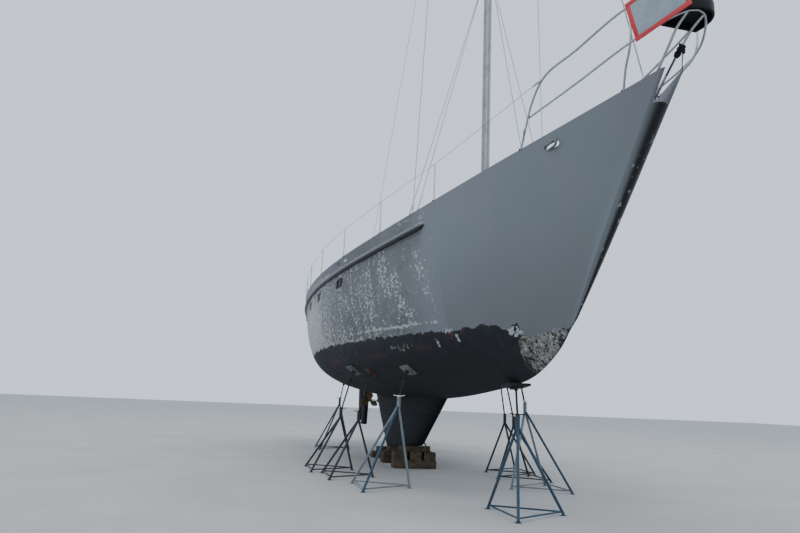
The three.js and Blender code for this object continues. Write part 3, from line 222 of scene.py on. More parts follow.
# Chips through the bottom paint to the filler, and scrapes down to the old red: the same but for the weight
CHIPS = [
    (3.97, 2.505, 0.15, 0.045), (3.81, 2.39, 0.040, 0.065), (4.31, 2.345, 0.055, 0.075),
    (7.0, 2.535, 0.45, 0.035)]
RED_SCRAPES = [
    (4.72, 2.30, 0.34, 0.06), (3.93, 2.44, 0.16, 0.07), (6.3, 2.22, 0.45, 0.07), (8.9, 2.2, 0.9, 0.09)]
PAINT_LINE_Z = 2.52                # height of the line between primer and bottom paint
FILLER_TONE = tone(150, 154, 154)


def fairing_marks(f, aft, z):
    """Pale filler in short dabs, gathered in upright rows and thicker towards the quarter."""
    dab = f.noise(1.0, 5.0, 0.72, f.stretched(17.0, 17.0, 21.0))
    leaning = f.node('ShaderNodeCombineXYZ', {}, [(0.42 * z - aft) * 5.6, 0.0, z * 0.34])
    column = f.noise(1.0, 3.0, 0.6, leaning)
    cluster = f.noise(3.4, 3.0, 0.6)
    more = (((aft - 4.6) / 5.4).greater(0.0) ** 0.7).lesser(1.0)
    low = (3.5 - z).rise(0.0, 1.2) * more
    quarter = (aft - 8.4).rise(0.0, 3.4) * (4.0 - z).rise(0.0, 0.7)
    amount = (column - 0.5) * 0.26 + (cluster - 0.5) * 0.18 + more * 0.130 + low * 0.075 + quarter * 0.17
    amount = amount - (aft - 10.8).rise(0.0, 3.5) * 0.15
    for a, height, long, tall, weight in FAIRING_CLUSTERS:
        amount = amount + 0.8 * weight * spot(aft + 0.4 * (height - z), z, (a, height), (long, tall))
    row = (1 - abs(z - 2.655) / 0.035).greater(0.0) * aft.rise(4.05, 4.15) * (7.2 - aft).rise(0.0, 1.5)
    amount = amount + row * 0.17
    above_rail = (z - 4.02 - 0.012 * aft).rise(0.0, 0.06) * (aft - 5.3).rise(0.0, 0.4)
    place = aft.rise(4.02, 4.12) * (1 - 0.9 * above_rail)
    return (dab + amount).rise(0.64, 0.69) * place


# Noises that several of the hull's coats share, from the widest to the finest
Clouds = namedtuple("Clouds", "broad soft ragged fine")


def primer_coats(f, clouds, aft, z):
    """Smooth blue-grey primer forward under a painted top light, a lighter band, then warmer grey, with
    painted shade and a painted shadow line under the strake.
    """
    # painted light: the forward primer is lighter towards the top and darker towards the stem, with broad
    # random patches
    painted_top_light = (clouds.broad * 0.5 + (z - 2.4) * 0.36 - (1.1 - aft).rise(0.0, 1.2) * 0.55).rise(0.1, 0.95)
    patchy = f.noise(0.7, 4.0, 0.55).rise(0.38, 0.62)
    fore = f.blend(painted_top_light, f.blend(patchy, tone(98, 103, 107), tone(100, 103, 108)),
                   f.blend(patchy, tone(105, 113, 117), tone(109, 113, 118)))
    rear = f.blend(clouds.soft.rise(0.35, 0.65), tone(79, 84, 87), tone(94, 98, 99))
    rear = f.blend((aft - 5.2).rise(0.0, 2.4) * 0.75, rear, tone(60, 63, 67))
    border = (aft + (clouds.broad - 0.5) * 0.07).rise(3.915, 3.945)
    band = (aft + (clouds.soft - 0.5) * 0.4).rise(4.2, 5.0)
    primer = f.blend(band, f.blend(border, fore, tone(106, 111, 117)), rear)
    strake = 3.968 + 0.00335 * (aft - 12.7) ** 2.0       # the strake's height, which follows the sheer
    beside_strake = aft.rise(4.3, 4.5)
    # painted shade: the topsides darken upward towards the strake, in its shadow
    shade = (1 - (strake - z) / 0.55).rise(0.0, 1.0) * beside_strake * (strake - z).rise(-0.02, 0.0)
    primer = f.blend(shade * 0.45, primer, tone(56, 58, 63))
    # painted shadow: a dark line just under the strake
    painted_strake_shadow = (1 - abs(z - strake + 0.085) / 0.05).greater(0.0) * beside_strake
    return f.blend(painted_strake_shadow * 0.6, primer, tone(36, 38, 43))


def bottom_coat(f, clouds, aft, z):
    """Bottom paint scraped down to the old red, chipped to the filler and streaked in one place."""
    coat = antifouling_colour(f, z)
    old_red = f.noise(26.0, 5.0, 0.72, f.stretched(0.7, 0.7, 1.3))
    for a, height, long, tall in RED_SCRAPES:
        there = spot(aft, z, (a, height), (long, tall))
        scraped = (old_red + there * 0.08).rise(0.58, 0.62) * there.rise(0.0, 0.35)
        coat = f.blend(scraped * 0.75, coat, tone(82, 36, 38))
    for a, height, long, tall in CHIPS:
        there = spot(aft, z, (a, height), (long, tall))
        chip = there * 0.42 + (clouds.fine - 0.5) * 2.4 + (clouds.ragged - 0.5) * 1.9
        coat = f.blend(chip.rise(0.27, 0.33) * there.rise(0.0, 0.08), coat, FILLER_TONE)
    there = spot(aft, z, (5.35, 2.31), (0.42, 0.09))
    fleck = f.noise(14.0, 5.0, 0.7, f.stretched(1.0, 1.0, 0.45))
    streaked = (fleck + there * 0.12).rise(0.62, 0.66) * there.rise(0.0, 0.2)
    return f.blend(streaked * 0.7, coat, tone(130, 136, 130))


def bare_forefoot(f, clouds, aft, z, under):
    """Where the forefoot's paint has come off down to old layers, mottled pale with dark specks.

    Gives the place as a value from 0 to 1, and the colour with the paint around it."""
    fine, ragged = clouds.fine, clouds.ragged
    back_edge = 2.66 + (2.38 - z) * 0.62 - (1.98 - z).greater(0.0) * 1.6 + (ragged - 0.5) * 0.10
    top_edge = 2.35 + (2.40 - aft).rise(0.0, 0.3) * 0.06 + (ragged - 0.5) * 0.10 + (fine - 0.5) * 0.08
    within = back_edge - aft
    bare = within.rise(0.0, 0.012) * (top_edge - z).rise(0.0, 0.012)
    speck = f.noise(38.0, 5.0, 0.75)
    blotch = f.noise(9.0, 5.0, 0.65)
    old = f.blend(fine.rise(0.35, 0.65), tone(112, 111, 108), tone(160, 160, 157))
    old = f.blend((speck + (blotch - 0.5) * 0.6).rise(0.51, 0.55), old, tone(26, 28, 28))
    near_edge = (1 - within / 0.22).greater(0.0)
    ochre = (f.noise(13.0, 5.0, 0.7) + near_edge * 0.12).rise(0.61, 0.66)
    old = f.blend(ochre * 0.7, old, tone(92, 83, 60))
    low_edge = near_edge * (2.22 - z).rise(0.0, 0.25)
    brown = (f.noise(15.0, 5.0, 0.7) + low_edge * 0.22).rise(0.58, 0.64) * (2.24 - z).rise(0.0, 0.1)
    shown = f.blend(bare, under, f.blend(brown, old, tone(50, 41, 36)))
    dark_rim = bare * (1 - within / 0.03).greater(0.0)
    shown = f.blend(dark_rim * 0.8, shown, tone(16, 18, 20))
    there = spot(aft, z, (2.70, 2.415), (0.14, 0.075))
    pale_rim = (there * 0.5 + (fine - 0.5) * 1.9 + (ragged - 0.5) * 2.2).rise(0.24, 0.30)
    return bare, f.blend(pale_rim * there.rise(0.0, 0.05), shown, tone(158, 163, 166))


def stem_dark_paint_and_shade(f, y, aft, z, under):
    """The stem darkens to black towards its middle, partly dark paint and partly painted shade, with pale
    nicks.
    """
    nose_half = ((z - 2.3) * 0.054).greater(0.018) * (0.8 + (z - 3.0).greater(0.0).lesser(1.4) * 0.16)
    # the dark reaches further round the port half, as painted shade there
    from_middle = abs(y - 0.3 * (abs(y) + y))
    stem = (1 - from_middle / nose_half).rise(0.0, 0.85) * (2.4 - aft).rise(0.0, 0.2)
    nicks = f.noise(16.0, 6.0, 0.7, f.stretched(1.0, 1.0, 0.6)).rise(0.60, 0.62) * stem.rise(0.15, 0.5)
    black = f.blend(stem, under, tone(12, 14, 17))
    return f.blend(nicks * 0.7 * (4.3 - z).rise(0.0, 0.2), black, tone(140, 146, 152))


def hull_paint():
    f = Finish("hull_primer_and_antifouling", tone(92, 99, 110), 0.5, shine=0.35)
    x, y, z = f.xyz()
    aft = STEM - x
    clouds = Clouds(broad=f.noise(0.9, 2.0), soft=f.noise(2.6, 4.0, 0.6), ragged=f.noise(7.0, 7.0, 0.68),
                    fine=f.noise(19.0, 6.0, 0.7))
    soft, ragged, fine = clouds[1:]
    marks = fairing_marks(f, aft, z)
    pale = f.blend(fine.rise(0.3, 0.7), tone(150, 152, 150), tone(196, 199, 197))
    primed = f.blend(marks * 0.85, primer_coats(f, clouds, aft, z), pale)
    # the bottom paint's torn edge, under a pale line of filler, and one greenish mark near the rail
    dip = (1 - abs(aft - 2.79) / 0.17).greater(0.0)
    tear = (soft - 0.5) * 0.11 + (ragged - 0.5) * 0.20 + (fine - 0.5) * 0.11
    line = PAINT_LINE_Z + tear - 0.07 * dip - 0.24 * (2.62 - aft).rise(0.0, 0.04)
    below = (line - z).rise(0.0, 0.008)
    edge = (line + 0.05 * (fine - 0.35) - z).rise(0.0, 0.01) * aft.rise(2.6, 2.75)
    edged = f.blend(edge * (0.35 + 0.5 * aft.rise(3.7, 4.2)), primed, FILLER_TONE)
    edged = f.blend(spot(aft, z, (7.68, 4.23), (0.11, 0.035)).rise(0.1, 0.5), edged, tone(168, 182, 162))
    whole = f.blend(below, edged, bottom_coat(f, clouds, aft, z))
    bare, shown = bare_forefoot(f, clouds, aft, z, whole)
    f.give('Base Color', stem_dark_paint_and_shade(f, y, aft, z, shown))
    f.give('Roughness', 0.48 + 0.2 * below + 0.2 * marks + 0.15 * bare)
    height = marks * 0.5 + below * 0.6 - bare * 0.5 + soft * 0.3 + ragged * 0.06
    return f.bump(height, 0.3, 0.006).material


def strake_paint(name, dull, bright):
    """Primer on the strake in cloudy tones between dull and bright; paler copies make a painted highlight
    along its top and darker ones painted shade beneath.
    """
    f = Finish(name, bright, 0.45, shine=0.4)
    cloud = f.noise(5.0, 5.0, 0.65)
    f.give('Base Color', f.blend(cloud.rise(0.35, 0.65), dull, bright))
    f.give('Roughness', 0.4 + 0.2 * cloud)
    return f.bump(cloud, 0.2, 0.002).material


def plain_primer():
    f = Finish("inside_primer", tone(108, 111, 116), 0.6, shine=0.35)
    cloud = f.noise(1.4, 4.0, 0.6)
    f.give('Base Color', f.blend(cloud.rise(0.3, 0.7), tone(98, 101, 106), tone(114, 116, 120)))
    return f.bump(f.noise(12.0, 5.0, 0.6), 0.15, 0.002).material


def bottom_paint():
    f = Finish("keel_antifouling", tone(16, 20, 25), 0.75, shine=0.2)
    z = f.xyz()[2]
    f.give('Base Color', f.blend(0.5, antifouling_colour(f, z + 0.35), tone(4, 6, 9)))
    return f.bump(f.noise(14.0, 6.0, 0.65), 0.4, 0.004).material


def worn_paint(name, main, worn, rough=0.5, scale=9.0, share=0.62, rust=None, metal=0.0):
    """Paint with chips and a little rust, on steel that has been handled."""
    f = Finish(name, main, rough, metal)
    shade = f.noise(scale * 0.25, 3.0)
    base = f.blend(shade.rise(0.3, 0.7) * 0.35, main, worn)
    chips = f.noise(scale, 7.0, 0.68)
    base = f.blend(chips.rise(share, share + 0.04), base, worn)
    if rust:
        base = f.blend(f.noise(scale * 1.7, 6.0, 0.7).rise(0.60, 0.66), base, rust)
    f.give('Base Color', base)
    f.give('Roughness', rough + 0.25 * chips.rise(share, share + 0.04))
    return f.bump(chips, 0.25, 0.001).material


def metal_finish(name, colour, rough, streaks=0.12):
    f = Finish(name, colour, rough, 1.0)
    cloud = f.noise(6.0, 4.0, 0.6)
    f.give('Roughness', rough + streaks * cloud)
    dull = tuple(c * 0.62 for c in colour[:3]) + (1.0,)
    f.give('Base Color', f.blend(cloud.rise(0.45, 0.75) * 0.6, colour, dull))
    return f.bump(f.noise(60.0, 3.0, 0.6), 0.05, 0.0004).material


def deck_paint():
    f = Finish("deck_nonslip", tone(150, 152, 150), 0.8)
    grit = f.noise(220.0, 2.0, 0.6)
    stain = f.noise(1.6, 5.0, 0.65)
    colour = f.blend(stain.rise(0.4, 0.7), tone(158, 160, 157), tone(128, 129, 126))
    f.give('Base Color', f.blend(grit * 0.25, colour, tone(110, 111, 110)))
    return f.bump(grit, 0.5, 0.0012).material


def gel_coat(name, main, dirt, rough=0.35):
    f = Finish(name, main, rough, 0.0, 0.3, 0.15)
    stain = f.noise(2.2, 6.0, 0.66, f.stretched(1.0, 1.0, 0.35))
    f.give('Base Color', f.blend(stain.rise(0.5, 0.8) * 0.7, main, dirt))
    f.give('Roughness', rough + 0.3 * stain)
    return f.bump(f.noise(3.0, 3.0), 0.08, 0.003).material


def teak():
    f = Finish("teak", tone(140, 104, 70), 0.65)
    grain = f.noise(14.0, 6.0, 0.6, f.stretched(0.6, 6.0, 6.0))
    bleach = f.noise(3.0, 4.0)
    colour = f.blend(grain.rise(0.35, 0.65), tone(116, 84, 56), tone(160, 126, 90))
    f.give('Base Color', f.blend(bleach.rise(0.4, 0.75) * 0.5, colour, tone(150, 142, 130)))
    return f.bump(grain, 0.35, 0.0015).material


def old_timber():
    f = Finish("block_timber", tone(84, 74, 62), 0.9, shine=0.2)
    grain = f.noise(9.0, 7.0, 0.65, f.stretched(5.0, 0.7, 5.0))
    soil = f.noise(3.0, 5.0, 0.6)
    colour = f.blend(grain.rise(0.3, 0.7), tone(56, 48, 38), tone(98, 86, 70))
    f.give('Base Color', f.blend(soil.rise(0.45, 0.7) * 0.7, colour, tone(46, 44, 40)))
    return f.bump(grain, 0.6, 0.004).material


def acrylic(name, colour, rough=0.1, coat=0.6, shine=0.5):
    f = Finish(name, colour, rough, 0.0, coat, 0.05, shine)
    dust = f.noise(5.0, 6.0, 0.65)
    f.give('Roughness', rough + 0.25 * dust.rise(0.4, 0.8))
    return f.bump(f.noise(1.5, 2.0), 0.03, 0.002).material


def plywood(name, main, seam):
    f = Finish(name, main, 0.75)
    ply = f.noise(16.0, 6.0, 0.6, f.stretched(3.0, 3.0, 0.6))
    scuff = f.noise(11.0, 6.0, 0.7)
    colour = f.blend(ply.rise(0.35, 0.7), main, seam)
    f.give('Base Color', f.blend(scuff.rise(0.58, 0.64), colour, tuple(c * 0.55 for c in seam[:3]) + (1,)))
    return f.bump(ply, 0.4, 0.002).material


def sign_face():
    """Blank panel, weathered blue-grey with its red edge painted as a separate piece."""
    f = Finish("sign_face", tone(140, 154, 162), 0.5)
    fade = f.noise(4.0, 4.0, 0.6)
    f.give('Base Color', f.blend(fade.rise(0.35, 0.7), tone(144, 158, 166), tone(124, 138, 146)))
    f.give('Roughness', 0.4 + 0.25 * fade)
    return f.bump(fade, 0.05, 0.002).material


def moulded_black():
    f = Finish("moulded_black", tone(22, 22, 23), 0.6, shine=0.3)
    pores = f.noise(90.0, 3.0, 0.6)
    cloud = f.noise(5.0, 4.0)
    f.give('Base Color', f.blend(cloud.rise(0.4, 0.7), tone(14, 14, 15), tone(26, 25, 25)))
    f.give('Roughness', 0.5 + 0.3 * cloud)
    return f.bump(pores, 0.25, 0.0008).material


PAINT = {
    'hull': hull_paint(),
    'strake': strake_paint("strake_primer", tone(84, 86, 91), tone(98, 100, 105)),
    # painted highlight and painted shade: lit and shaded copies of the strake's primer
    'strake_lit_top': strake_paint("strake_painted_highlight", tone(128, 131, 136), tone(152, 155, 159)),
    'strake_shaded_under': strake_paint("strake_painted_shade", tone(20, 22, 26), tone(34, 36, 40)),
    'inside': plain_primer(),
    'bottom': bottom_paint(),
    'deck': deck_paint(),
    'coach': gel_coat("cabin_paint", tone(196, 198, 194), tone(150, 148, 140)),
    'white': gel_coat("cockpit_paint", tone(204, 204, 198), tone(158, 156, 148)),
    'steel': metal_finish("stainless_tube", tone(176, 180, 184), 0.24),
    'wire': metal_finish("rigging_wire", tone(140, 144, 148), 0.38),
    'alloy': metal_finish("cast_alloy", tone(168, 170, 172), 0.42),
    'mast': metal_finish("anodised_mast", tone(150, 152, 154), 0.45),
    'bronze': metal_finish("cast_bronze", tone(104, 84, 58), 0.55),
    'teak': teak(),
    'timber': old_timber(),
    'acrylic': acrylic("smoked_acrylic", tone(26, 28, 30)),
    'side_window': acrylic("dusty_window", tone(12, 13, 15), 0.4, 0.0, 0.12),
    'black': moulded_black(),
    'rope': worn_paint("black_lashing", tone(12, 12, 14), tone(30, 30, 32), 0.85, 60.0),
    'blue': worn_paint("stand_blue", tone(22, 60, 80), tone(28, 40, 50), 0.5, 12.0, 0.60, tone(84, 56, 40)),
    'dark': worn_paint("stand_black", tone(28, 30, 33), tone(62, 60, 58), 0.6, 12.0, 0.62, tone(84, 52, 38)),
    'screw': worn_paint("rusty_screw", tone(62, 48, 42), tone(38, 32, 30), 0.75, 20.0, 0.5,
                        tone(88, 48, 32), 0.3),
    'galvanised': worn_paint("galvanised_leg", tone(122, 130, 136), tone(84, 98, 110), 0.5, 10.0, 0.58,
                             tone(96, 70, 52), 0.4),
    'ply_grey': plywood("pad_grey", tone(118, 122, 120), tone(84, 86, 84)),
    'ply_blue': plywood("pad_blue_grey", tone(82, 94, 102), tone(58, 68, 76)),
    'ply_red': plywood("pad_red", tone(74, 32, 36), tone(42, 24, 28)),
    'ply_dark': plywood("pad_dark", tone(34, 30, 29), tone(22, 20, 20)),
    'red_cloth': worn_paint("red_scrap", tone(120, 34, 40), tone(84, 28, 32), 0.8, 30.0),
    'sign_face': sign_face(),
    'sign_red': worn_paint("sign_edge_red", tone(186, 40, 46), tone(166, 36, 42), 0.5, 8.0, 0.7),
    'rubber': worn_paint("dark_rubber", tone(18, 19, 21), tone(40, 40, 42), 0.75, 25.0),
}


# The yacht's lines. Sheer: distance aft, half breadth, height. Waterline: distance aft, half breadth.
# Keel line: distance aft, height, and how steeply the bottom rises from it, in degrees.
SHEER = [
    (-0.235, 0.120, 4.757), (1.04, 0.404, 4.715), (2.62, 0.811, 4.63), (4.41, 1.278, 4.508),
    (5.9, 1.621, 4.432), (7.88, 1.998, 4.35), (9.76, 2.222, 4.296), (11.5, 2.28, 4.272),
    (13.5, 2.205, 4.27), (15.5, 2.01, 4.3), (17.15, 1.79, 4.345)]
WATERLINE = [
    (1.77, 0.018), (3.26, 0.63), (4.73, 1.17), (6.19, 1.6), (7.66, 1.925), (9.12, 2.075), (10.6, 2.1),
    (12.05, 2.02), (13.5, 1.85), (15.0, 1.6), (17.48, 1.05)]
KEEL_LINE = [
    (1.77, 2.45, 70), (1.96, 2.31, 66), (2.2, 2.12, 62), (2.68, 1.9, 55), (3.2, 1.775, 47), (4.3, 1.655, 34),
    (5.87, 1.545, 22), (7.5, 1.5, 15), (10.5, 1.485, 11), (13.0, 1.6, 9), (15.0, 1.95, 7), (17.5, 2.42, 4)]
TIP, TRANSOM = SHEER[0][0], SHEER[-1][0]
STEM_RAKE, STEM_RAKE_END = 2.005, 7.0
STERN_RAKE, STERN_RAKE_START = 0.35, 15.5
WATER_Z = PAINT_LINE_Z
WALL = 0.024                      # thickness of the bulwarks
DECK_DROP = 0.24                  # how far the deck's edge lies below the sheer
CAMBER = 0.036                    # the deck's rise towards its middle, as a share of the breadth


def bend(t, p, q, dp, dq):
    """A smooth curve from p to q that leaves at dp and arrives at dq."""
    t2, t3 = t * t, t * t * t
    return p * (2 * t3 - 3 * t2 + 1) + q * (3 * t2 - 2 * t3) + dp * (t3 - 2 * t2 + t) + dq * (t3 - t2)


def through(rows, column):
    """A smooth function of the first column that passes through another."""
    xs, ys = [r[0] for r in rows], [r[column] for r in rows]
    last = len(xs) - 1

    def slope(i):
        a, b = max(i - 1, 0), min(i + 1, last)
        return (ys[b] - ys[a]) / (xs[b] - xs[a])

    def value(aft):
        i = next((k for k in range(last) if xs[k + 1] > aft), last - 1)
        h = xs[i + 1] - xs[i]
        return bend((aft - xs[i]) / h, ys[i], ys[i + 1], slope(i) * h, slope(i + 1) * h)
    return value


sheer_half, sheer_z = through(SHEER, 1), through(SHEER, 2)
water_half, keel_z, keel_rise = through(WATERLINE, 1), through(KEEL_LINE, 1), through(KEEL_LINE, 2)


def rake_at(aft):
    """How far the foot of a section lies aft of its top."""
    fore = max(0.0, 1 - (aft - TIP) / (STEM_RAKE_END - TIP))
    stern = max(0.0, (aft - STERN_RAKE_START) / (TRANSOM - STERN_RAKE_START))
    return STEM_RAKE * fore ** 1.5 + STERN_RAKE * stern ** 2


def section(aft, low=18, high=12):
    """Half section of the hull at a station, from the centre line out to the sheer, starboard side."""
    rake, top, half = rake_at(aft), sheer_z(aft), sheer_half(aft)
    foot = keel_z(aft + rake)
    water = max(0.018, water_half(aft + rake * (top - WATER_Z) / (top - foot)))
    bilge = math.atan2(water, WATER_Z - foot)
    side = math.atan2(half - water, top - WATER_Z)
    turn = mix(side, bilge, 0.22 + 0.85 * max(0.0, bilge - 1.05))
    points = []

    def arc(start, end, a, c, steps, skip):
        reach = math.hypot(end[0] - start[0], end[1] - start[1]) * 1.02
        for i in range(skip, steps + 1):
            t = i / steps
            y = bend(t, start[0], end[0], math.sin(a) * reach, math.sin(c) * reach)
            z = bend(t, start[1], end[1], math.cos(a) * reach, math.cos(c) * reach)
            points.append(at(aft + rake * (top - z) / (top - foot), -y, z))

    flat = max(math.pi / 2 - math.radians(keel_rise(aft + rake)), bilge)
    arc((0, foot), (water, WATER_Z), flat, turn, low, 0)
    arc((water, WATER_Z), (half, top), turn, side * 0.82, high, 1)
    return points


def side_at(aft, z):
    """The point of the starboard side at a height in a section."""
    half = section(aft)
    for a, b in zip(half[-2::-1], half[:0:-1]):
        if a.z <= z:
            return a.lerp(b, (z - a.z) / (b.z - a.z))
    return half[0].copy()


def deck_z(aft, y):
    edge = side_at(aft, sheer_z(aft) - DECK_DROP)
    return edge.z + CAMBER * (abs(edge.y) - abs(y))


def port(points):
    """The same points on the other side."""
    return [Vector((p.x, -p.y, p.z)) for p in points]


# Workshop helpers

def choose(*pieces):
    bpy.ops.object.select_all(action='DESELECT')
    for piece in pieces:
        piece.select_set(True)
    bpy.context.view_layer.objects.active = pieces[0]


def tidy_mesh(piece, fill=False, outward=True):
    """Merges corners that lie together and turns the faces outward, its holes filled where asked."""
    choose(piece)
    bpy.ops.object.mode_set(mode='EDIT')
    bpy.ops.mesh.select_all(action='SELECT')
    bpy.ops.mesh.remove_doubles(threshold=1e-5)
    if fill:
        bpy.ops.mesh.fill_holes(sides=0)
        bpy.ops.mesh.select_all(action='SELECT')
    if outward:
        bpy.ops.mesh.normals_make_consistent(inside=False)
    bpy.ops.object.mode_set(mode='OBJECT')
    return piece


def loft(rows):
    """A closed form whose corners are laid on rings of points, its ends filled."""
    along, round_it = len(rows) - 1, len(rows[0])
    bpy.ops.object.select_all(action='DESELECT')
    bpy.ops.mesh.primitive_grid_add(x_subdivisions=along, y_subdivisions=round_it, size=2)
    piece = bpy.context.object
    for v in piece.data.vertices:
        i, j = round((v.co.x + 1) / 2 * along), round((v.co.y + 1) / 2 * round_it)
        v.co = rows[i][j % round_it]
    return tidy_mesh(piece, fill=True)


def fresh(add, **shape):
    """A new piece from one of Blender's primitives, with its place, turn and scale applied."""
    bpy.ops.object.select_all(action='DESELECT')
    add(**shape)
    bpy.ops.object.transform_apply(location=True, rotation=True, scale=True)
    return bpy.context.object


def facing(axis):
    return axis.to_track_quat('Z', 'Y').to_euler()


def box(a0, a1, y0, y1, z0, z1):
    return fresh(bpy.ops.mesh.primitive_cube_add, size=1,
                 location=at((a0 + a1) / 2, (y0 + y1) / 2, (z0 + z1) / 2),
                 scale=(abs(a1 - a0), abs(y1 - y0), abs(z1 - z0)))


def over_plan(plan, z0, z1):
    """A box over the plan of an opening."""
    first, last, half = plan
    return box(first, last, -half, half, z0, z1)


def rod(a, b, r, r_end=None, sides=20):
    """A round bar from a to b, tapered if it has an end radius."""
    return fresh(bpy.ops.mesh.primitive_cone_add, vertices=sides, radius1=r,
                 radius2=r if r_end is None else r_end, depth=(b - a).length, location=(a + b) / 2,
                 rotation=facing(b - a))


def ball(p, r, flat=1.0, sides=20):
    return fresh(bpy.ops.mesh.primitive_uv_sphere_add, segments=sides, ring_count=sides // 2, radius=r,
                 location=p, scale=(1, 1, flat))


def turned(p, profile, axis=UPWARD, sides=32):
    """A lathe form: rows of radius and height along the axis."""
    look = axis.to_track_quat('Z', 'Y').to_matrix()
    return loft([[p + look @ Vector((r * math.cos(a), r * math.sin(a), h)) for a in angles(sides)]
                 for r, h in profile])


def smooth_path(points, steps=8):
    """Points of a smooth curve that passes through the given ones."""
    out = []
    for i in range(len(points) - 1):
        p0, p1, p2 = points[max(i - 1, 0)], points[i], points[i + 1]
        p3 = points[min(i + 2, len(points) - 1)]
        span = [max((b - a).length ** 0.5, 1e-6) for a, b in ((p0, p1), (p1, p2), (p2, p3))]
        m1 = ((p1 - p0) / span[0] - (p2 - p0) / (span[0] + span[1])) if i else Vector()
        m2 = ((p3 - p2) / span[2] - (p3 - p1) / (span[1] + span[2])) if i + 2 < len(points) else Vector()
        t1 = (p2 - p1) + m1 * span[1] if i else (p2 - p1)
        t2 = (p2 - p1) + m2 * span[1] if i + 2 < len(points) else (p2 - p1)
        for k in range(steps):
            out.append(Vector(bend(k / steps, p1[c], p2[c], t1[c], t2[c]) for c in range(3)))
    return out + [points[-1]]


def tube(points, r, steps=8, fine=3, loop=False):
    """A round bar through points, smooth where steps is more than 1."""
    path = smooth_path(points, steps) if steps > 1 else points
    bpy.ops.object.select_all(action='DESELECT')
    bpy.ops.curve.primitive_nurbs_path_add()
    curve = bpy.context.object
    curve.data.splines.clear()
    spline = curve.data.splines.new('POLY')
    spline.points.add(len(path) - 1)
    for point, p in zip(spline.points, path):
        point.co = (*p, 1)
    spline.use_cyclic_u = loop
    curve.data.dimensions = '3D'
    curve.data.bevel_depth = r
    curve.data.bevel_resolution = fine
    curve.data.use_fill_caps = not loop
    bpy.ops.object.convert(target='MESH')
    bpy.ops.object.transform_apply(location=True, rotation=True, scale=True)
    return tidy_mesh(bpy.context.object)


def ring(p, r, thick, axis=AHEAD, sides=48):
    return fresh(bpy.ops.mesh.primitive_torus_add, location=p, rotation=facing(axis), major_radius=r,
                 minor_radius=thick, major_segments=sides, minor_segments=12)


def carve(piece, *cutters, keep='DIFFERENCE'):
    """Cuts the cutters away one by one, or with INTERSECT keeps only what lies within them."""
    for cutter in cutters:
        choose(piece)
        bpy.ops.object.modifier_add(type='BOOLEAN')
        cutting = piece.modifiers[-1]
        cutting.operation, cutting.object, cutting.solver = keep, cutter, 'EXACT'
        bpy.ops.object.modifier_apply(modifier=cutting.name)
        bpy.data.objects.remove(cutter)
    return piece


def together(*pieces):
    choose(*pieces)
    if len(pieces) > 1:
        bpy.ops.object.join()
    return bpy.context.object


def round_edges(piece, width, segments=2, angle=35):
    choose(piece)
    bpy.ops.object.modifier_add(type='BEVEL')
    edge = piece.modifiers[-1]
    edge.width, edge.segments = width, segments
    edge.limit_method, edge.angle_limit = 'ANGLE', math.radians(angle)
    bpy.ops.object.modifier_apply(modifier=edge.name)
    return piece


def eased(a0, a1, y0, y1, z0, z1, width, segments=2):
    """A box with its edges rounded."""
    return round_edges(box(a0, a1, y0, y1, z0, z1), width, segments)


def painted(piece, paint):
    piece.data.materials.clear()
    piece.data.materials.append(PAINT[paint])
    return piece


def all_painted(pieces, paint):
    return [painted(piece, paint) for piece in pieces]


def fitted(name, pieces, nodes=(), body=YACHT, angle=35):
    """Joins painted pieces into one, smooths it, and fits it to its body."""
    piece = together(*pieces)
    piece.name = piece.data.name = name
    choose(piece)
    bpy.ops.object.shade_smooth_by_angle(angle=math.radians(angle))
    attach(piece, body)
    if nodes:
        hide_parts(*nodes)


def copy_of(node):
    """A clean copy of a CAD node to be dressed, its loose triangles merged."""
    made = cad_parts[node].copy()
    made.data = made.data.copy()
    bpy.context.collection.objects.link(made)
    made.parent = None
    made.matrix_world = Matrix.Identity(4)
    for key in list(made.keys()):
        if key.startswith("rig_"):
            del made[key]
    tidy_mesh(made, outward=False)
    bpy.ops.object.mode_set(mode='EDIT')
    bpy.ops.mesh.select_all(action='SELECT')
    bpy.ops.mesh.dissolve_limited(angle_limit=math.radians(1.0))
    bpy.ops.object.mode_set(mode='OBJECT')
    return made


def recolour(piece, paint, where):
    """Gives another finish to the faces whose middle passes a test."""
    piece.data.materials.append(PAINT[paint])
    last = len(piece.data.materials) - 1
    for face in piece.data.polygons:
        if where(face.center, face.normal):
            face.material_index = last


# Hull

STEM_ROUND = 0.62                 # how far the stem swells forward, as a share of its half breadth
# Hawse slots through the bulwarks: distance aft, drop below the sheer, length, height
HAWSE_SLOTS = [(1.42, 0.16, 0.26, 0.066), (8.17, 0.095, 0.15, 0.06), (15.9, 0.13, 0.3, 0.09)]
# Windows in the topsides: distance aft, drop below the sheer
PORTLIGHTS = [(7.95, 0.56), (9.85, 0.555), (11.4, 0.55), (13.9, 0.54)]
PORT_SIZE = (0.43, 0.21)
# Openings in the deck and the roof: first and last distance aft, half breadth
CABIN_PLAN = 6.0, 11.8, 0.98
DOORWAY_PLAN = 11.75, 12.0, 0.3
COCKPIT_PLAN = 11.95, 15.2, 1.15
WELL_PLAN = 11.95, 14.95, 0.45
FORE_HATCH_PLAN = 3.205, 3.695, 0.245
SALOON_HATCH_PLAN = 8.37, 8.83, 0.23
SLIDE_PLAN = 11.22, 12.05, 0.3
SEAT_Z, SOLE_Z = 3.78, 3.35
STOCK_AFT, STOCK_R = 15.33, 0.0448


def stations(first, last, count, gather=1.1):
    """Distances aft, closer together towards the bow."""
    return [mix(first, last, (i / count) ** gather) for i in range(count + 1)]


def crowned(edge, y, ahead=0.0):
    """A point of the cambered deck at breadth y, level with the deck's edge or a little ahead of it."""
    return Vector((edge.x + ahead, y, edge.z + CAMBER * (abs(edge.y) - abs(y))))


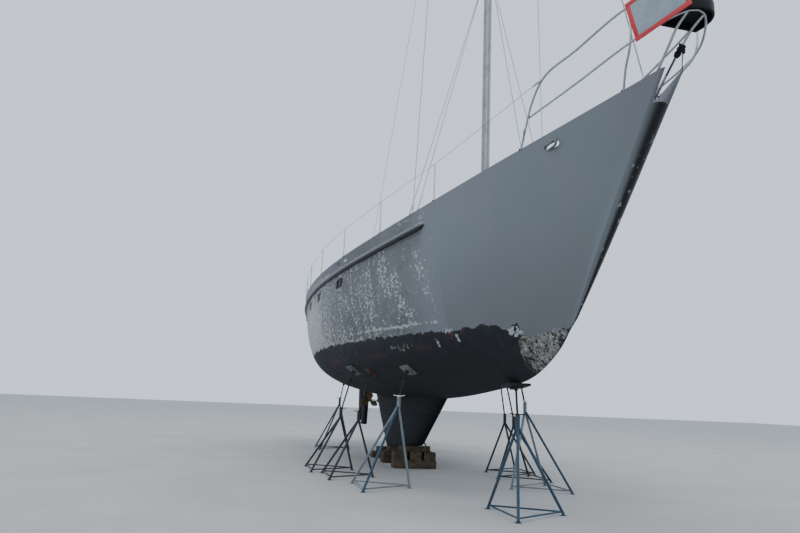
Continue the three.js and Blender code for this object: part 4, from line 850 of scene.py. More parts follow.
def deck_space():
    """The space above the deck, between the bulwarks and ahead of the transom's plate."""
    drop, rise, past_stem = DECK_DROP + 0.03, 0.4, 0.5

    def ring_at(aft, ahead=0.0):
        top, edge, lip = sheer_z(aft), side_at(aft, sheer_z(aft) - drop), side_at(aft, sheer_z(aft))
        slope = (abs(lip.y) - abs(edge.y)) / (lip.z - edge.z)
        low = abs(edge.y) - WALL
        high = low + slope * (drop + rise)
        x_top = edge.x + (lip.x - edge.x) / (lip.z - edge.z) * (drop + rise) + ahead
        crown = [crowned(edge, low * k, ahead) for k in (-1, -0.5, 0, 0.5, 1)]
        return crown + [Vector((x_top, high, top + rise)), Vector((x_top, -high, top + rise))]

    rows = [ring_at(aft) for aft in stations(TIP, TRANSOM, 70)[:-1]]
    return loft([ring_at(TIP, past_stem)] + rows + [ring_at(TRANSOM, WALL)])


def oval(aft, z, length, height, y0, y1, steps=12):
    """A bar of oval section lying across the hull."""
    rows = []
    for y in (y0, y1):
        row = []
        for a in angles(4 * steps, 0.5):
            flat = (length - height) / 2 * (1 if math.cos(a) > 0 else -1)
            row.append(at(aft, y, z) + Vector((flat + height / 2 * math.cos(a), 0, height / 2 * math.sin(a))))
        rows.append(row)
    return loft(rows)


def port_recess(aft, drop, side, deep=0.014):
    p = side_at(aft, sheer_z(aft) - drop)
    return oval(aft, p.z, *PORT_SIZE, side * (abs(p.y) - deep), side * (abs(p.y) + 0.3))


def make_hull():
    halves = [section(aft) for aft in stations(TIP, TRANSOM, 110, 1.12)]
    nose = []
    for share in (0.0, 0.12, 0.26, 0.42, 0.6, 0.8):
        swell = STEM_ROUND * (1 - share ** 2)
        nose.append([Vector((p.x + swell * abs(p.y), p.y * share, p.z)) for p in halves[0]])
    hull = loft([half[::-1] + port(half[1:]) for half in nose + halves])
    for v in hull.data.vertices:
        v.co.x = max(v.co.x, CAD_BOX[0][0])
    rooms = together(
        over_plan(CABIN_PLAN, 2.5, 4.6), over_plan(COCKPIT_PLAN, SEAT_Z, 4.9),
        *[oval(a, sheer_z(a) - drop, l, h, -3, 3) for a, drop, l, h in HAWSE_SLOTS],
        *[port_recess(a, drop, side) for a, drop in PORTLIGHTS for side in (-1, 1)])
    wells = together(
        over_plan(WELL_PLAN, SOLE_Z, 4.9), over_plan(FORE_HATCH_PLAN, 3.6, 5.0),
        rod(at(STOCK_AFT, 0, 1.5), at(STOCK_AFT, 0, 3.1), 0.048, sides=40),
        *[box(12.54, 13.86, side * 0.6, side * 1.0, 3.38, 4.0) for side in (-1, 1)])
    carve(hull, deck_space(), rooms, wells, over_plan(DOORWAY_PLAN, 3.9, 4.9))

    def lining(p, n):
        """Walls, seats and sole of the cabin and the cockpit."""
        return (5.9 < STEM - p.x < 15.25 and 2.49 < p.z < 4.3
                and abs(p.y) < (1.16 if n.z > 0.5 else 1.151))

    def bulwark_inside(p, n):
        """The bulwarks' inner faces and tops, and the transom's inner face."""
        aft = STEM - p.x
        if p.z <= sheer_z(aft) - DECK_DROP - 0.045 or aft <= TIP + 0.02:
            return False
        inner = n.y * p.y < -0.02 and (abs(p.y) > 1.2 or aft < 11.9)
        return inner or abs(n.z) > 0.8 or n.x > 0.5 and aft > 15.3

    painted(hull, 'hull')
    recolour(hull, 'white', lining)
    recolour(hull, 'inside', bulwark_inside)
    fitted("hull_shell", [hull], ["hull", "cockpit_tub", "bulwark_starboard", "bulwark_port"],
           angle=28)


# Rubbing strakes, half round and tapered to a point forward

RUB_START, RUB_NOSE = 4.25, 0.17      # distance aft of the point, length of the taper
RUB_R, RUB_DROP = 0.0605, 0.3


def make_rub_rail(side, word):
    taper = [RUB_START + 0.002 + RUB_NOSE * (k / 8) ** 2 for k in range(9)]
    rows = []
    for aft in taper + stations(RUB_START + RUB_NOSE, TRANSOM - 0.02, 110)[1:]:
        share = min(1, (aft - RUB_START) / RUB_NOSE)
        r = RUB_R * math.sqrt(0.05 + 0.95 * share * (2 - share))
        p = side_at(aft, sheer_z(aft) - RUB_DROP)
        arc = [Vector((p.x, side * (abs(p.y) + r * 0.9 * math.cos(a)), p.z + r * math.sin(a)))
               for a in (math.pi * (k / 14 - 0.5) for k in range(15))]
        rows.append(arc + [Vector((p.x, side * (abs(p.y) - 0.03), p.z + h)) for h in (r, -r)])
    strake = painted(loft(rows), 'strake')
    # painted highlight on the faces that look up, painted shade on those that look down
    recolour(strake, 'strake_lit_top', lambda p, n: n.z > 0.55)
    recolour(strake, 'strake_shaded_under', lambda p, n: n.z < -0.15)
    fitted("rubbing_strake_" + word, [strake], ["rub_rail_" + word], angle=45)


# Hull side windows, a dark pane in a thin frame at the bottom of each recess

def make_portlights(side, word):
    length, height = PORT_SIZE
    panes, frames = [], []
    for aft, drop in PORTLIGHTS:
        p = side_at(aft, sheer_z(aft) - drop)
        y = abs(p.y)
        inner, width = side * (y - 0.03), 0.016
        pane = oval(aft, p.z, length - 0.012, height - 0.012, inner, side * (y - 0.009))
        panes.append(painted(round_edges(pane, 0.003), 'side_window'))
        l, h = length - 0.002, height - 0.002
        y0, y1 = inner, side * (y - 0.004)
        rim = carve(oval(aft, p.z, l, h, y0, y1),
                    oval(aft, p.z, l - 2 * width, h - 2 * width, y0 - 0.5, y1 + 0.5))
        frames.append(painted(round_edges(rim, 0.002), 'rubber'))
    fitted("hull_windows_" + word, panes)
    fitted("hull_window_frames_" + word, frames)


# Keel, skeg and rudder

KEEL_FORE, KEEL_FORE_Z = 8.37, 0.52       # fore corner of the keel's sole
KEEL_AFT, KEEL_AFT_Z = 11.64, 0.25        # after corner of its sole
ROOT_FORE, ROOT_AFT, ROOT_Z = 6.76, 13.14, 1.51
KEEL_HEAD_Z = 1.83                        # inside the hull
BALLAST_TOP_Z = 1.1655
HALF_AT_SOLE, HALF_AT_HEAD = 0.175, 0.235


def keel_sole_z(aft):
    return mix(KEEL_FORE_Z, KEEL_AFT_Z, (aft - KEEL_FORE) / (KEEL_AFT - KEEL_FORE))


def foil_side(t):
    """Half thickness of the foil at a share of its length, as a share of its greatest half thickness."""
    return (1.48 * math.sqrt(t) - 0.9 * t - 0.58 * t ** 3) / 0.62 + 0.03


def keel_point(t, sign, height):
    """A point of the keel's side at a share of its length and of its height."""
    low = at(mix(KEEL_FORE, KEEL_AFT, t), sign * HALF_AT_SOLE * foil_side(t), mix(KEEL_FORE_Z, KEEL_AFT_Z, t))
    grow = (KEEL_HEAD_Z - KEEL_FORE_Z) / (ROOT_Z - KEEL_FORE_Z)
    fore, aft = mix(KEEL_FORE, ROOT_FORE, grow), mix(KEEL_AFT, ROOT_AFT, grow)
    return low.lerp(at(mix(fore, aft, t), sign * HALF_AT_HEAD * foil_side(t), KEEL_HEAD_Z), height)


def keel_rows(z_low, z_high, steps):
    """Rings round the keel from one height to another, or from its slanting sole if z_low is None."""
    spread = [0.003 + 0.982 * (1 - math.cos(math.pi * k / 26)) / 2 for k in range(27)]

    def share(t, z):
        sole = mix(KEEL_FORE_Z, KEEL_AFT_Z, t)
        return 0.0 if z is None else (z - sole) / (KEEL_HEAD_Z - sole)

    return [[keel_point(t, sign, mix(share(t, z_low), share(t, z_high), k / steps))
             for sign, ts in ((-1, spread), (1, spread[::-1])) for t in ts] for k in range(steps + 1)]


def make_keel():
    ballast = keel_rows(None, BALLAST_TOP_Z, 6)
    sole = [Vector((mix(p.x, STEM - 10.0, 0.012), p.y * 0.86, p.z)) for p in ballast[0]]
    lifted = [p + lift(0.022) for p in ballast[0]]
    fitted("ballast_casting", [painted(loft([sole, lifted] + ballast[1:]), 'bottom')],
           ["ballast_keel"])
    fitted("keel_root", [painted(loft(keel_rows(1.171, 1.75, 4)), 'bottom')], ["keel_stub"])


def blade_ring(z, fore, aft, half, nose=0.05, steps=14):
    """Section of a blade at a height, rounded ahead and thinned to its trailing edge."""
    def thick(t):
        if t < nose:
            return half * math.sqrt(t / nose)
        return half * (1.0 if t < 0.3 else 1 - ((t - 0.3) / 0.7) ** 1.6 * 0.92)

    spread = [nose * (k / 5) ** 2 for k in range(6)] + [mix(nose, 1, k / steps) for k in range(1, steps + 1)]
    right = [at(mix(fore, aft, t), -thick(t) - 0.002, z) for t in spread]
    return right + port(right)[::-1]


SKEG_LOW_Z, SKEG_HIGH_Z = 0.65, 2.35
SKEG_LOW_FORE, SKEG_HIGH_FORE = 14.8, 14.45
BLADE_HALF = 0.066


def make_skeg():
    rows = []
    for z in (0.724, 0.8, 1.1, 1.5, 1.9, 2.3):
        fore = mix(SKEG_LOW_FORE, SKEG_HIGH_FORE, (z - SKEG_LOW_Z) / (SKEG_HIGH_Z - SKEG_LOW_Z)) - 0.01
        rows.append(blade_ring(z, fore, 15.52, BLADE_HALF, 0.12, 12))
    blade = carve(loft(rows), box(15.226, 15.8, -0.3, 0.3, 0.5, 2.6))
    heel_rows = [blade_ring(z, SKEG_LOW_FORE + inset, 15.62, 0.068 - inset, 0.1)
                 for z, inset in ((0.662, 0.008), (0.67, 0), (0.718, 0), (0.722, 0.004))]
    heel = round_edges(carve(loft(heel_rows), box(15.415, 15.8, -0.3, 0.3, 0.5, 0.9)), 0.006)
    fitted("skeg_blade", all_painted([blade, heel], 'bottom'), ["skeg"])


def make_rudder():
    low, top = 0.76, min(keel_z(STOCK_AFT), keel_z(15.25)) - 0.045
    rows = []
    for z, pull in ((low, 0.03), (0.772, 0.008), (0.79, 0), (1.1, 0), (1.4, 0), (1.7, 0), (top - 0.02, 0),
                    (top - 0.006, 0.006), (top, 0.02)):
        back = mix(15.99, 16.18, (z - low) / (top - low))
        rows.append(blade_ring(z, 15.252 + pull, back - pull, BLADE_HALF - pull * 0.8, 0.1))
    blade = painted(loft(rows), 'bottom')
    stock = painted(rod(at(STOCK_AFT, 0, top - 0.3), at(STOCK_AFT, 0, 2.9), STOCK_R, sides=36), 'steel')
    pintle = painted(rod(at(STOCK_AFT, 0, 0.7205), at(STOCK_AFT, 0, 0.8), 0.026, sides=24), 'bronze')
    fitted("rudder_blade", [blade, stock, pintle], ["rudder"], body="rudder_body")


# Propeller and its shaft

SHAFT_Z = 1.4


def make_shaft():
    bar = painted(rod(at(12.4, 0, SHAFT_Z), at(14.23, 0, SHAFT_Z), 0.0219, sides=28), 'steel')
    barrel = turned(at(14.15, 0, SHAFT_Z), [
        (0.024, 0), (0.034, 0), (0.041, 0.012), (0.042, 0.07), (0.041, 0.128), (0.034, 0.14),
        (0.024, 0.14)], AHEAD)
    strut = loft([[at(14.08 + 0.05 * math.cos(a), 0.0108 * math.sin(a) * (1 - 0.35 * math.cos(a)), z)
                   for a in angles(20)] for z in (SHAFT_Z, 2.0)])
    seal = turned(at(13.05, 0, SHAFT_Z), [(0.022, 0), (0.036, 0.0), (0.05, 0.02), (0.052, 0.3)], AHEAD)
    fitted("shaft_and_bracket", [bar, *all_painted([barrel, strut, seal], 'bronze')],
           ["propeller_shaft"])


def propeller_blade(turn, steps=12):
    rows = []
    for i in range(steps + 1):
        out = i / steps
        r = mix(0.03, 0.286, out)
        chord = 0.105 * math.sin(math.pi * mix(0.14, 0.97, out ** 0.9)) ** 0.8
        pitch = math.atan2(0.36, 2 * math.pi * max(r, 0.06))
        thick = mix(0.008, 0.0022, out)
        row = []
        for a in angles(20):
            along, across = chord * math.cos(a), thick * math.sin(a) + 0.08 * chord * math.sin(a) ** 2 * 0.3
            row.append(at(14.3, 0, SHAFT_Z)
                       + turn @ Vector((along * math.sin(pitch) + across * math.cos(pitch),
                                        along * math.cos(pitch) - across * math.sin(pitch), r)))
        rows.append(row)
    return loft(rows)


def make_propeller():
    hub = turned(at(14.39, 0, SHAFT_Z), [
        (0.002, 0), (0.02, 0.004), (0.028, 0.014), (0.034, 0.05), (0.044, 0.1), (0.047, 0.15),
        (0.044, 0.1595), (0.026, 0.1597)], AHEAD)
    blades = [propeller_blade(Matrix.Rotation(a, 3, 'X')) for a in angles(3)]
    fitted("propeller_cast", all_painted([hub, *blades], 'bronze'), ["propeller"],
           body="propeller_body", angle=50)


# Timber under the keel, beams laid crosswise in layers

def beam(a0, a1, y0, y1, z0, z1, drop=0.0):
    """A beam whose top slopes down aft by the drop."""
    made = box(a0, a1, y0, y1, z0, z1)
    for v in made.data.vertices:
        if v.co.z > (z0 + z1) / 2 and v.co.x < STEM - (a0 + a1) / 2:
            v.co.z -= drop
    return painted(round_edges(made, 0.006, 2), 'timber')


def make_keel_block(name, aft):
    def under_sole(a):
        return keel_sole_z(a) - 0.002

    low = under_sole(aft + 0.15) - 0.11
    layers = 2 if low > 0.22 else 1
    h = low / layers
    beams = []
    for layer in range(layers):
        z0, z1 = layer * h + 0.001, (layer + 1) * h - 0.001
        if layer % 2 == 0:
            beams += [beam(aft - 0.188, aft - 0.004, -0.478, 0.47, z0, z1),
                      beam(aft + 0.004, aft + 0.188, -0.465, 0.478, z0, z1)]
        else:
            beams += [beam(aft - 0.186, aft + 0.186, y - 0.13, y + 0.13, z0, z1) for y in (-0.33, 0.0, 0.32)]
    for a0, a1 in ((aft - 0.149, aft - 0.003), (aft + 0.003, aft + 0.149)):
        beams.append(beam(a0, a1, -0.33, 0.33, low + 0.001, under_sole(a0), under_sole(a0) - under_sole(a1)))
    fitted(name + "_beams", beams, [name])


# Deck plate, cambered

def make_deck():
    rows = []
    for aft in stations(TIP, TRANSOM - 0.03, 70):
        edge = side_at(aft, sheer_z(aft) - DECK_DROP)
        half = abs(edge.y) - WALL + 0.004
        over = [crowned(edge, half * k) for k in (-1, -0.8, -0.4, 0, 0.4, 0.8, 1)]
        rows.append(over + [p - lift(0.029) for p in over[::-1]])
    cockpit = DOORWAY_PLAN[0], *COCKPIT_PLAN[1:]
    plate = carve(loft(rows), *[over_plan(plan, 3.5, 5) for plan in (CABIN_PLAN, cockpit, FORE_HATCH_PLAN)])
    fitted("deck_plate", [painted(plate, 'deck')],
           ["deck_fore", "deck_aft", "side_deck_starboard", "side_deck_port"], angle=20)


# Coachroof

COACH_TOP = 4.69
ROOF_FORE, ROOF_AFT, ROOF_FORE_Z = 5.6, 11.95, 4.5
WINDOW_TOP = 4.52
# Side windows of the cabin: fore end's distance aft, length, lower edge
CABIN_WINDOWS = [(6.65, 0.9, 4.315), (7.8, 0.9, 4.3), (8.95, 0.9, 4.3), (10.1, 1.1, 4.3)]


def softened(profile, rounds=2):
    """An outline with its corners cut off again and again."""
    for _ in range(rounds):
        out = [profile[0]]
        for a, b in zip(profile, profile[1:]):
            out += [(mix(a[0], b[0], t), mix(a[1], b[1], t)) for t in (0.25, 0.75)]
        profile = out + [profile[-1]]
    return profile


def coach_ring(aft, inset, foot):
    t = min(1, max(0, (aft - ROOF_FORE) / (ROOF_AFT - ROOF_FORE)))
    half = mix(0.86, 1.33, 1 - (1 - t) ** 1.6) - inset
    knee = min(1, (aft - ROOF_FORE) / 1.9)
    top = mix(ROOF_FORE_Z, COACH_TOP, max(0, knee)) - inset
    profile = softened([(half, foot), (half - 0.02, 4.23), (half - 0.07, top - 0.075),
                        (half - 0.15, top - 0.028), (0.45, top), (0, top)])
    return [at(aft, -y, z) for y, z in profile[:-1]] + [at(aft, y, z) for y, z in profile[::-1]]


def coach_form(inset, foot, steps=48):
    fore, aft = ROOF_FORE + inset, ROOF_AFT - inset
    return loft([coach_ring(mix(fore, aft, i / steps), inset, foot) for i in range(steps + 1)])


def soft_bar(aft, z, length, height, radius, y0, y1):
    """A bar across the boat with a rounded rectangle as its section."""
    rows = []
    for y in (y0, y1):
        row = []
        for k, (cx, cz) in enumerate(((1, 1), (-1, 1), (-1, -1), (1, -1))):
            centre = at(aft, y, z) + Vector((cx * (length / 2 - radius), 0, cz * (height / 2 - radius)))
            row += [centre + radius * Vector((math.cos(a), 0, math.sin(a)))
                    for a in (math.pi / 2 * (k + j / 6) for j in range(7))]
        rows.append(row)
    return loft(rows)


def window_bar(window, wider, radius, y0, y1):
    """A bar through a cabin window, a little wider and higher than the window."""
    fore, length, low = window
    return soft_bar(fore + length / 2, (low + WINDOW_TOP) / 2, length + wider, WINDOW_TOP - low + wider,
                    radius, y0, y1)


def make_cabin_side(side, word):
    gaskets = []
    for window in CABIN_WINDOWS:
        y = abs(coach_ring(window[0] + window[1] / 2, 0, 4.0)[0].y) - 0.05
        gaskets.append(carve(window_bar(window, 0.03, 0.07, side * (y - 0.4), side * (y + 0.4)),
                             window_bar(window, -0.012, 0.054, side * (y - 0.6), side * (y + 0.6))))
    skin = carve(coach_form(-0.004, 4.0), coach_form(0.03, 3.9))
    edging = carve(together(*gaskets), skin, keep='INTERSECT')
    fitted("window_gaskets_" + word, [painted(edging, 'rubber')])
    fitted("window_panes_" + word, [painted(copy_of("window_band_" + word), 'acrylic')],
           ["window_band_" + word])
    y = side * 0.86
    rail = tube([at(a, y, COACH_TOP + h) for a, h in (
        (7.9, -0.03), (7.93, 0.03), (8.02, 0.052), (9.3, 0.055), (10.6, 0.052), (10.69, 0.03),
        (10.72, -0.03))], 0.0125)
    posts = [rod(at(a, y, COACH_TOP - 0.03), at(a, y, COACH_TOP + 0.054), 0.009) for a in (8.7, 9.3, 9.95)]
    fitted("cabin_grab_rail_" + word, all_painted([rail, *posts], 'steel'))


def make_coachroof():
    shell = coach_form(0.0, 4.0)
    windows = together(*[window_bar(window, 0.0, 0.06, -1.6, 1.6) for window in CABIN_WINDOWS])
    carve(shell, coach_form(0.04, 3.9), windows, over_plan(SLIDE_PLAN, 3.9, 4.9),
          over_plan(SALOON_HATCH_PLAN, 4.49, 4.9))
    round_edges(shell, 0.004, 2, 50)
    rim = carve(box(8.34, 8.86, -0.26, 0.26, 4.67, 4.73), over_plan(SALOON_HATCH_PLAN, 4.4, 4.9))
    runners = [eased(10.51, ROOF_AFT, side * 0.31, side * 0.35, 4.67, 4.7017, 0.004) for side in (-1, 1)]
    fitted("cabin_shell", all_painted([shell, round_edges(rim, 0.004), *runners], 'coach'),
           ["coachroof"], angle=30)
    for side, word in SIDES:
        make_cabin_side(side, word)


# Hatches, doors and lids

def dressed(node, name, paint, body=YACHT, bevel=0.004, segments=2, extra=()):
    """A CAD node shown with its edges rounded."""
    made = painted(round_edges(copy_of(node), bevel, segments, 40), paint)
    fitted(name, [made, *extra], [node], body=body)


def make_glazed_lid(node, aft, half, body):
    """A cast frame round a pane, with two handles along its after edge."""
    low, high = (corner[2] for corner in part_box(node))
    z, bar = high - 0.009, 0.045
    pane_half = half - bar + 0.001
    rim = carve(box(aft - half, aft + half, -half, half, low, z),
                box(aft - half + bar, aft + half - bar, -half + bar, half - bar, low - 1, z + 1))
    pane = box(aft - pane_half, aft + pane_half, -pane_half, pane_half, low + 0.003, high)
    handles = [turned(at(aft + half - 0.1, y, high - 0.004),
                      [(0.001, 0.002), (0.012, 0.004), (0.018, 0.003), (0.019, 0.0)]) for y in (-0.13, 0.13)]
    fitted(node + "_glazed",
           [painted(round_edges(rim, 0.006, 3), 'alloy'), painted(round_edges(pane, 0.008, 3), 'acrylic'),
            *all_painted(handles, 'alloy')], [node], body=body)


def make_hatches():
    handle = painted(rod(at(11.935, -0.12, 4.756), at(11.935, 0.12, 4.756), 0.008), 'steel')
    dressed("companionway_hatch", "sliding_hatch", 'acrylic', "slide_hatch_body",
            extra=[handle])
    dressed("hatch_garage", "sliding_hatch_garage", 'coach', bevel=0.012, segments=3)
    dressed("fore_hatch_frame", "fore_hatch_coaming", 'alloy')
    make_glazed_lid("fore_hatch_lid", 3.45, 0.302, "fore_hatch_body")
    make_glazed_lid("saloon_hatch_lid", 8.6, 0.272, "saloon_hatch_body")


def make_doors(side, word):
    a0, a1 = 11.9505, 11.9795
    near, far, low, high = 0.0045, 0.3295, 3.881, 4.654
    bars = [box(a0, a1, side * near, side * (near + 0.055), low, high),
            box(a0, a1, side * (far - 0.06), side * far, low, high),
            box(a0, a1, side * near, side * far, low, low + 0.09),
            box(a0, a1, side * near, side * far, high - 0.08, high)]
    for k in range(13):
        z = mix(low + 0.1, high - 0.1, k / 12)
        slat = box(a0 + 0.004, a1 - 0.004, side * (near + 0.05), side * (far - 0.055), z - 0.022, z + 0.022)
        for v in slat.data.vertices:
            v.co.z += (v.co.x - (STEM - (a0 + a1) / 2)) * 0.9
        bars.append(slat)
    knob = turned(at(a1, side * 0.05, 4.3), [(0.006, 0), (0.006, 0.008), (0.0135, 0.012), (0.0135, 0.018),
                                            (0.009, 0.0219), (0.001, 0.022)], -AHEAD, 20)
    fitted("cabin_door_" + word,
           [painted(round_edges(bar, 0.003), 'teak') for bar in bars] + [painted(knob, 'steel')],
           ["companionway_door_" + word], body="door_" + word + "_body")


def make_locker_lid(side, word):
    z, y0, y1 = 3.7805, 0.5605, 1.0795
    rim = carve(box(12.501, 13.899, side * y0, side * y1, z, z + 0.0245),
                box(12.55, 13.85, side * (y0 + 0.04), side * (y1 - 0.04), z + 0.012, z + 1))
    slats = [box(12.553, 13.847, side * (y - 0.022), side * (y + 0.022), z + 0.008, z + 0.0242)
             for y in (mix(y0 + 0.062, y1 - 0.062, k / 8) for k in range(9))]
    fitted("seat_locker_lid_" + word, [painted(round_edges(p, 0.003), 'teak') for p in [rim, *slats]],
           ["locker_lid_" + word], body="locker_" + word + "_body")


# Cockpit

def cockpit_planks():
    """Teak on the after seats, along the lockers' edges, and as a grating in the well."""
    low, high = SEAT_Z - 0.005, SEAT_Z + 0.012
    planks = []
    for side in (-1, 1):
        for k in range(11):
            y = mix(0.49, 1.11, k / 10)
            planks.append(box(14.0, 15.16, side * (y - 0.027), side * (y + 0.027), low, high))
        for y in (0.462, 0.508):
            planks.append(box(12.0, 13.9, side * y, side * (y + 0.042), low, high))
    for k in range(9):
        y = mix(-0.4, 0.4, k / 8)
        planks.append(box(12.15, 14.0, y - 0.016, y + 0.016, 3.36, 3.378))
    for k in range(15):
        a = mix(12.2, 13.95, k / 14)
        planks.append(box(a - 0.016, a + 0.016, -0.42, 0.42, 3.352, 3.368))
    return planks


def make_sheet_winch(side, word):
    centre = at(13.5, side * 1.247, deck_z(12.1, 0) + 0.3005)
    drum = turned(centre, [
        (0.002, 0), (0.114, 0), (0.114, 0.022), (0.108, 0.026), (0.092, 0.034), (0.076, 0.05),
        (0.069, 0.07), (0.067, 0.1), (0.069, 0.125), (0.078, 0.14), (0.095, 0.148), (0.095, 0.154),
        (0.084, 0.16), (0.095, 0.167), (0.095, 0.174), (0.07, 0.18), (0.03, 0.1815), (0.002, 0.1815)],
        sides=48)
    grip = []
    for a in angles(20):
        foot = centre + 0.0695 * Vector((math.cos(a), math.sin(a), 0))
        grip.append(rod(foot + lift(0.06), foot + lift(0.13), 0.0035, sides=8))
    socket = turned(centre + lift(0.1805), [(0.016, 0), (0.016, 0.001), (0.011, 0.001), (0.011, -0.03)],
                    sides=8)
    fitted("sheet_winch_" + word,
           all_painted([drum, *grip], 'steel') + [painted(socket, 'rubber')], ["winch_" + word])


def make_cockpit():
    dressed("cockpit_coaming", "coaming_shell", 'coach', bevel=0.018, segments=3)
    fitted("cockpit_teak", [painted(round_edges(p, 0.002, 1), 'teak') for p in cockpit_planks()])
    for side, word in SIDES:
        make_sheet_winch(side, word)


PEDESTAL_AFT, WHEEL_AFT, WHEEL_Z, WHEEL_R = 14.22, 14.42, 4.33, 0.43


def make_steering():
    column = turned(at(PEDESTAL_AFT, 0, 3.3505), [
        (0.002, 0), (0.168, 0), (0.169, 0.012), (0.16, 0.026), (0.115, 0.036), (0.104, 0.08), (0.096, 0.5),
        (0.082, 0.98), (0.084, 1.0), (0.1, 1.02), (0.104, 1.06), (0.104, 1.09), (0.09, 1.1), (0.002, 1.1)],
        sides=48)
    dome = turned(at(PEDESTAL_AFT, 0, 4.45), [
        (0.086, 0), (0.084, 0.03), (0.07, 0.062), (0.045, 0.083), (0.02, 0.0925), (0.001, 0.094)], sides=40)
    boss = rod(at(14.2, 0, WHEEL_Z), at(14.3795, 0, WHEEL_Z), 0.033, sides=32)
    guard_half = [at(14.06, y, z) for y, z in ((-0.14, 3.36), (-0.14, 4.3), (-0.12, 4.46), (0, 4.51))]
    guard = tube(guard_half + port(guard_half[:-1])[::-1], 0.012)
    bolts = [turned(at(PEDESTAL_AFT + 0.14 * math.cos(a), 0.14 * math.sin(a), 3.376),
                    [(0.011, 0), (0.011, 0.006), (0.004, 0.009), (0.001, 0.009)], sides=12)
             for a in angles(6, 0.5)]
    fitted("binnacle", [painted(column, 'white'), painted(dome, 'acrylic'),
                                         *all_painted([boss, guard, *bolts], 'steel')], ["steering_pedestal"])
    centre = at(WHEEL_AFT, 0, WHEEL_Z)
    rim = ring(centre, WHEEL_R, 0.0148, sides=96)
    hub = turned(at(14.4495, 0, WHEEL_Z), [
        (0.001, 0), (0.02, 0), (0.036, 0.006), (0.044, 0.02), (0.0448, 0.045), (0.04, 0.069),
        (0.001, 0.069)], AHEAD)
    spokes = []
    for a in angles(6):
        out = Vector((0, math.sin(a), math.cos(a)))
        spokes.append(rod(centre + out * 0.03, centre + out * 0.428, 0.0098, 0.0075, sides=14))
    king = ring(centre + lift(WHEEL_R), 0.0155, 0.004, TO_PORT, 20)
    fitted("wheel_rim_and_spokes",
           all_painted([rim, hub, *spokes], 'steel') + [painted(king, 'rope')], ["steering_wheel"],
           body="wheel_body")


WINDLASS_AFT = 2.21


def make_windlass():
    base = deck_z(2.15, 0)
    bed = eased(1.942, 2.358, -0.148, 0.148, base - 0.03, base + 0.058, 0.01, 3)
    column = turned(at(WINDLASS_AFT, 0, base + 0.05), [
        (0.099, 0), (0.098, 0.02), (0.088, 0.06), (0.083, 0.16), (0.086, 0.2), (0.08, 0.235), (0.05, 0.249),
        (0.001, 0.25)], sides=40)
    gypsy = turned(at(WINDLASS_AFT, -0.229, base + 0.19), [
        (0.001, 0), (0.05, 0), (0.058, 0.006), (0.061, 0.014), (0.046, 0.03), (0.042, 0.07), (0.05, 0.1),
        (0.061, 0.108), (0.061, 0.13), (0.03, 0.14)], TO_PORT, 36)
    drum = turned(at(WINDLASS_AFT, 0.229, base + 0.19), [
        (0.001, 0), (0.05, 0), (0.061, 0.01), (0.052, 0.03), (0.044, 0.07), (0.05, 0.11), (0.061, 0.12),
        (0.03, 0.14)], -TO_PORT, 36)
    fitted("windlass_castings", [painted(bed, 'alloy'), painted(column, 'steel'),
                                              painted(gypsy, 'bronze'), painted(drum, 'steel')], ["windlass"])


# Rig

SPREADERS = [(9.3, 1.08), (14.3, 0.82)]       # height, half span
SPREADER_SWEEP = 0.16                         # how far aft a spreader leads, as a share of its span
MAST_AFT, MAST_TOP = 4.85, 19.5
STAY_HEAD_Z = MAST_TOP - 0.035


def turnbuckle(foot, along, length=0.3):
    d = along.normalized()
    body = turned(foot + d * length * 0.22, [
        (0.004, 0), (0.012, 0.004), (0.013, 0.02), (0.0125, length * 0.5), (0.013, length * 0.55),
        (0.004, length * 0.56)], d, 14)
    return all_painted([rod(foot, foot + d * length * 0.3, 0.006, sides=12), body,
                        rod(foot + d * length * 0.7, foot + d * length, 0.0085, sides=12)], 'steel')


def wire(a, b, r=0.006):
    return painted(rod(a, b, r, sides=12), 'wire')


def spreader(side, z, span):
    """One swept spreader with its root on the mast and a soft tip."""
    rows = []
    for k in range(9):
        y = mix(0.04, span, k / 8)
        chord, thick = mix(0.055, 0.026, k / 8), mix(0.0148, 0.011, k / 8)
        aft = MAST_AFT + y * SPREADER_SWEEP
        rows.append([at(aft - chord * math.cos(a), side * y, z + thick * math.sin(a)) for a in angles(20)])
    root = turned(at(MAST_AFT + 0.01, side * 0.05, z),
                  [(0.001, 0), (0.075, 0.0), (0.075, 0.012), (0.06, 0.03), (0.001, 0.03)], side * TO_PORT, 20)
    tip = ball(at(MAST_AFT + span * SPREADER_SWEEP, side * (span - 0.004), z), 0.017, 1.0, 16)
    return [painted(loft(rows), 'mast'), painted(root, 'alloy'), painted(tip, 'rubber')]


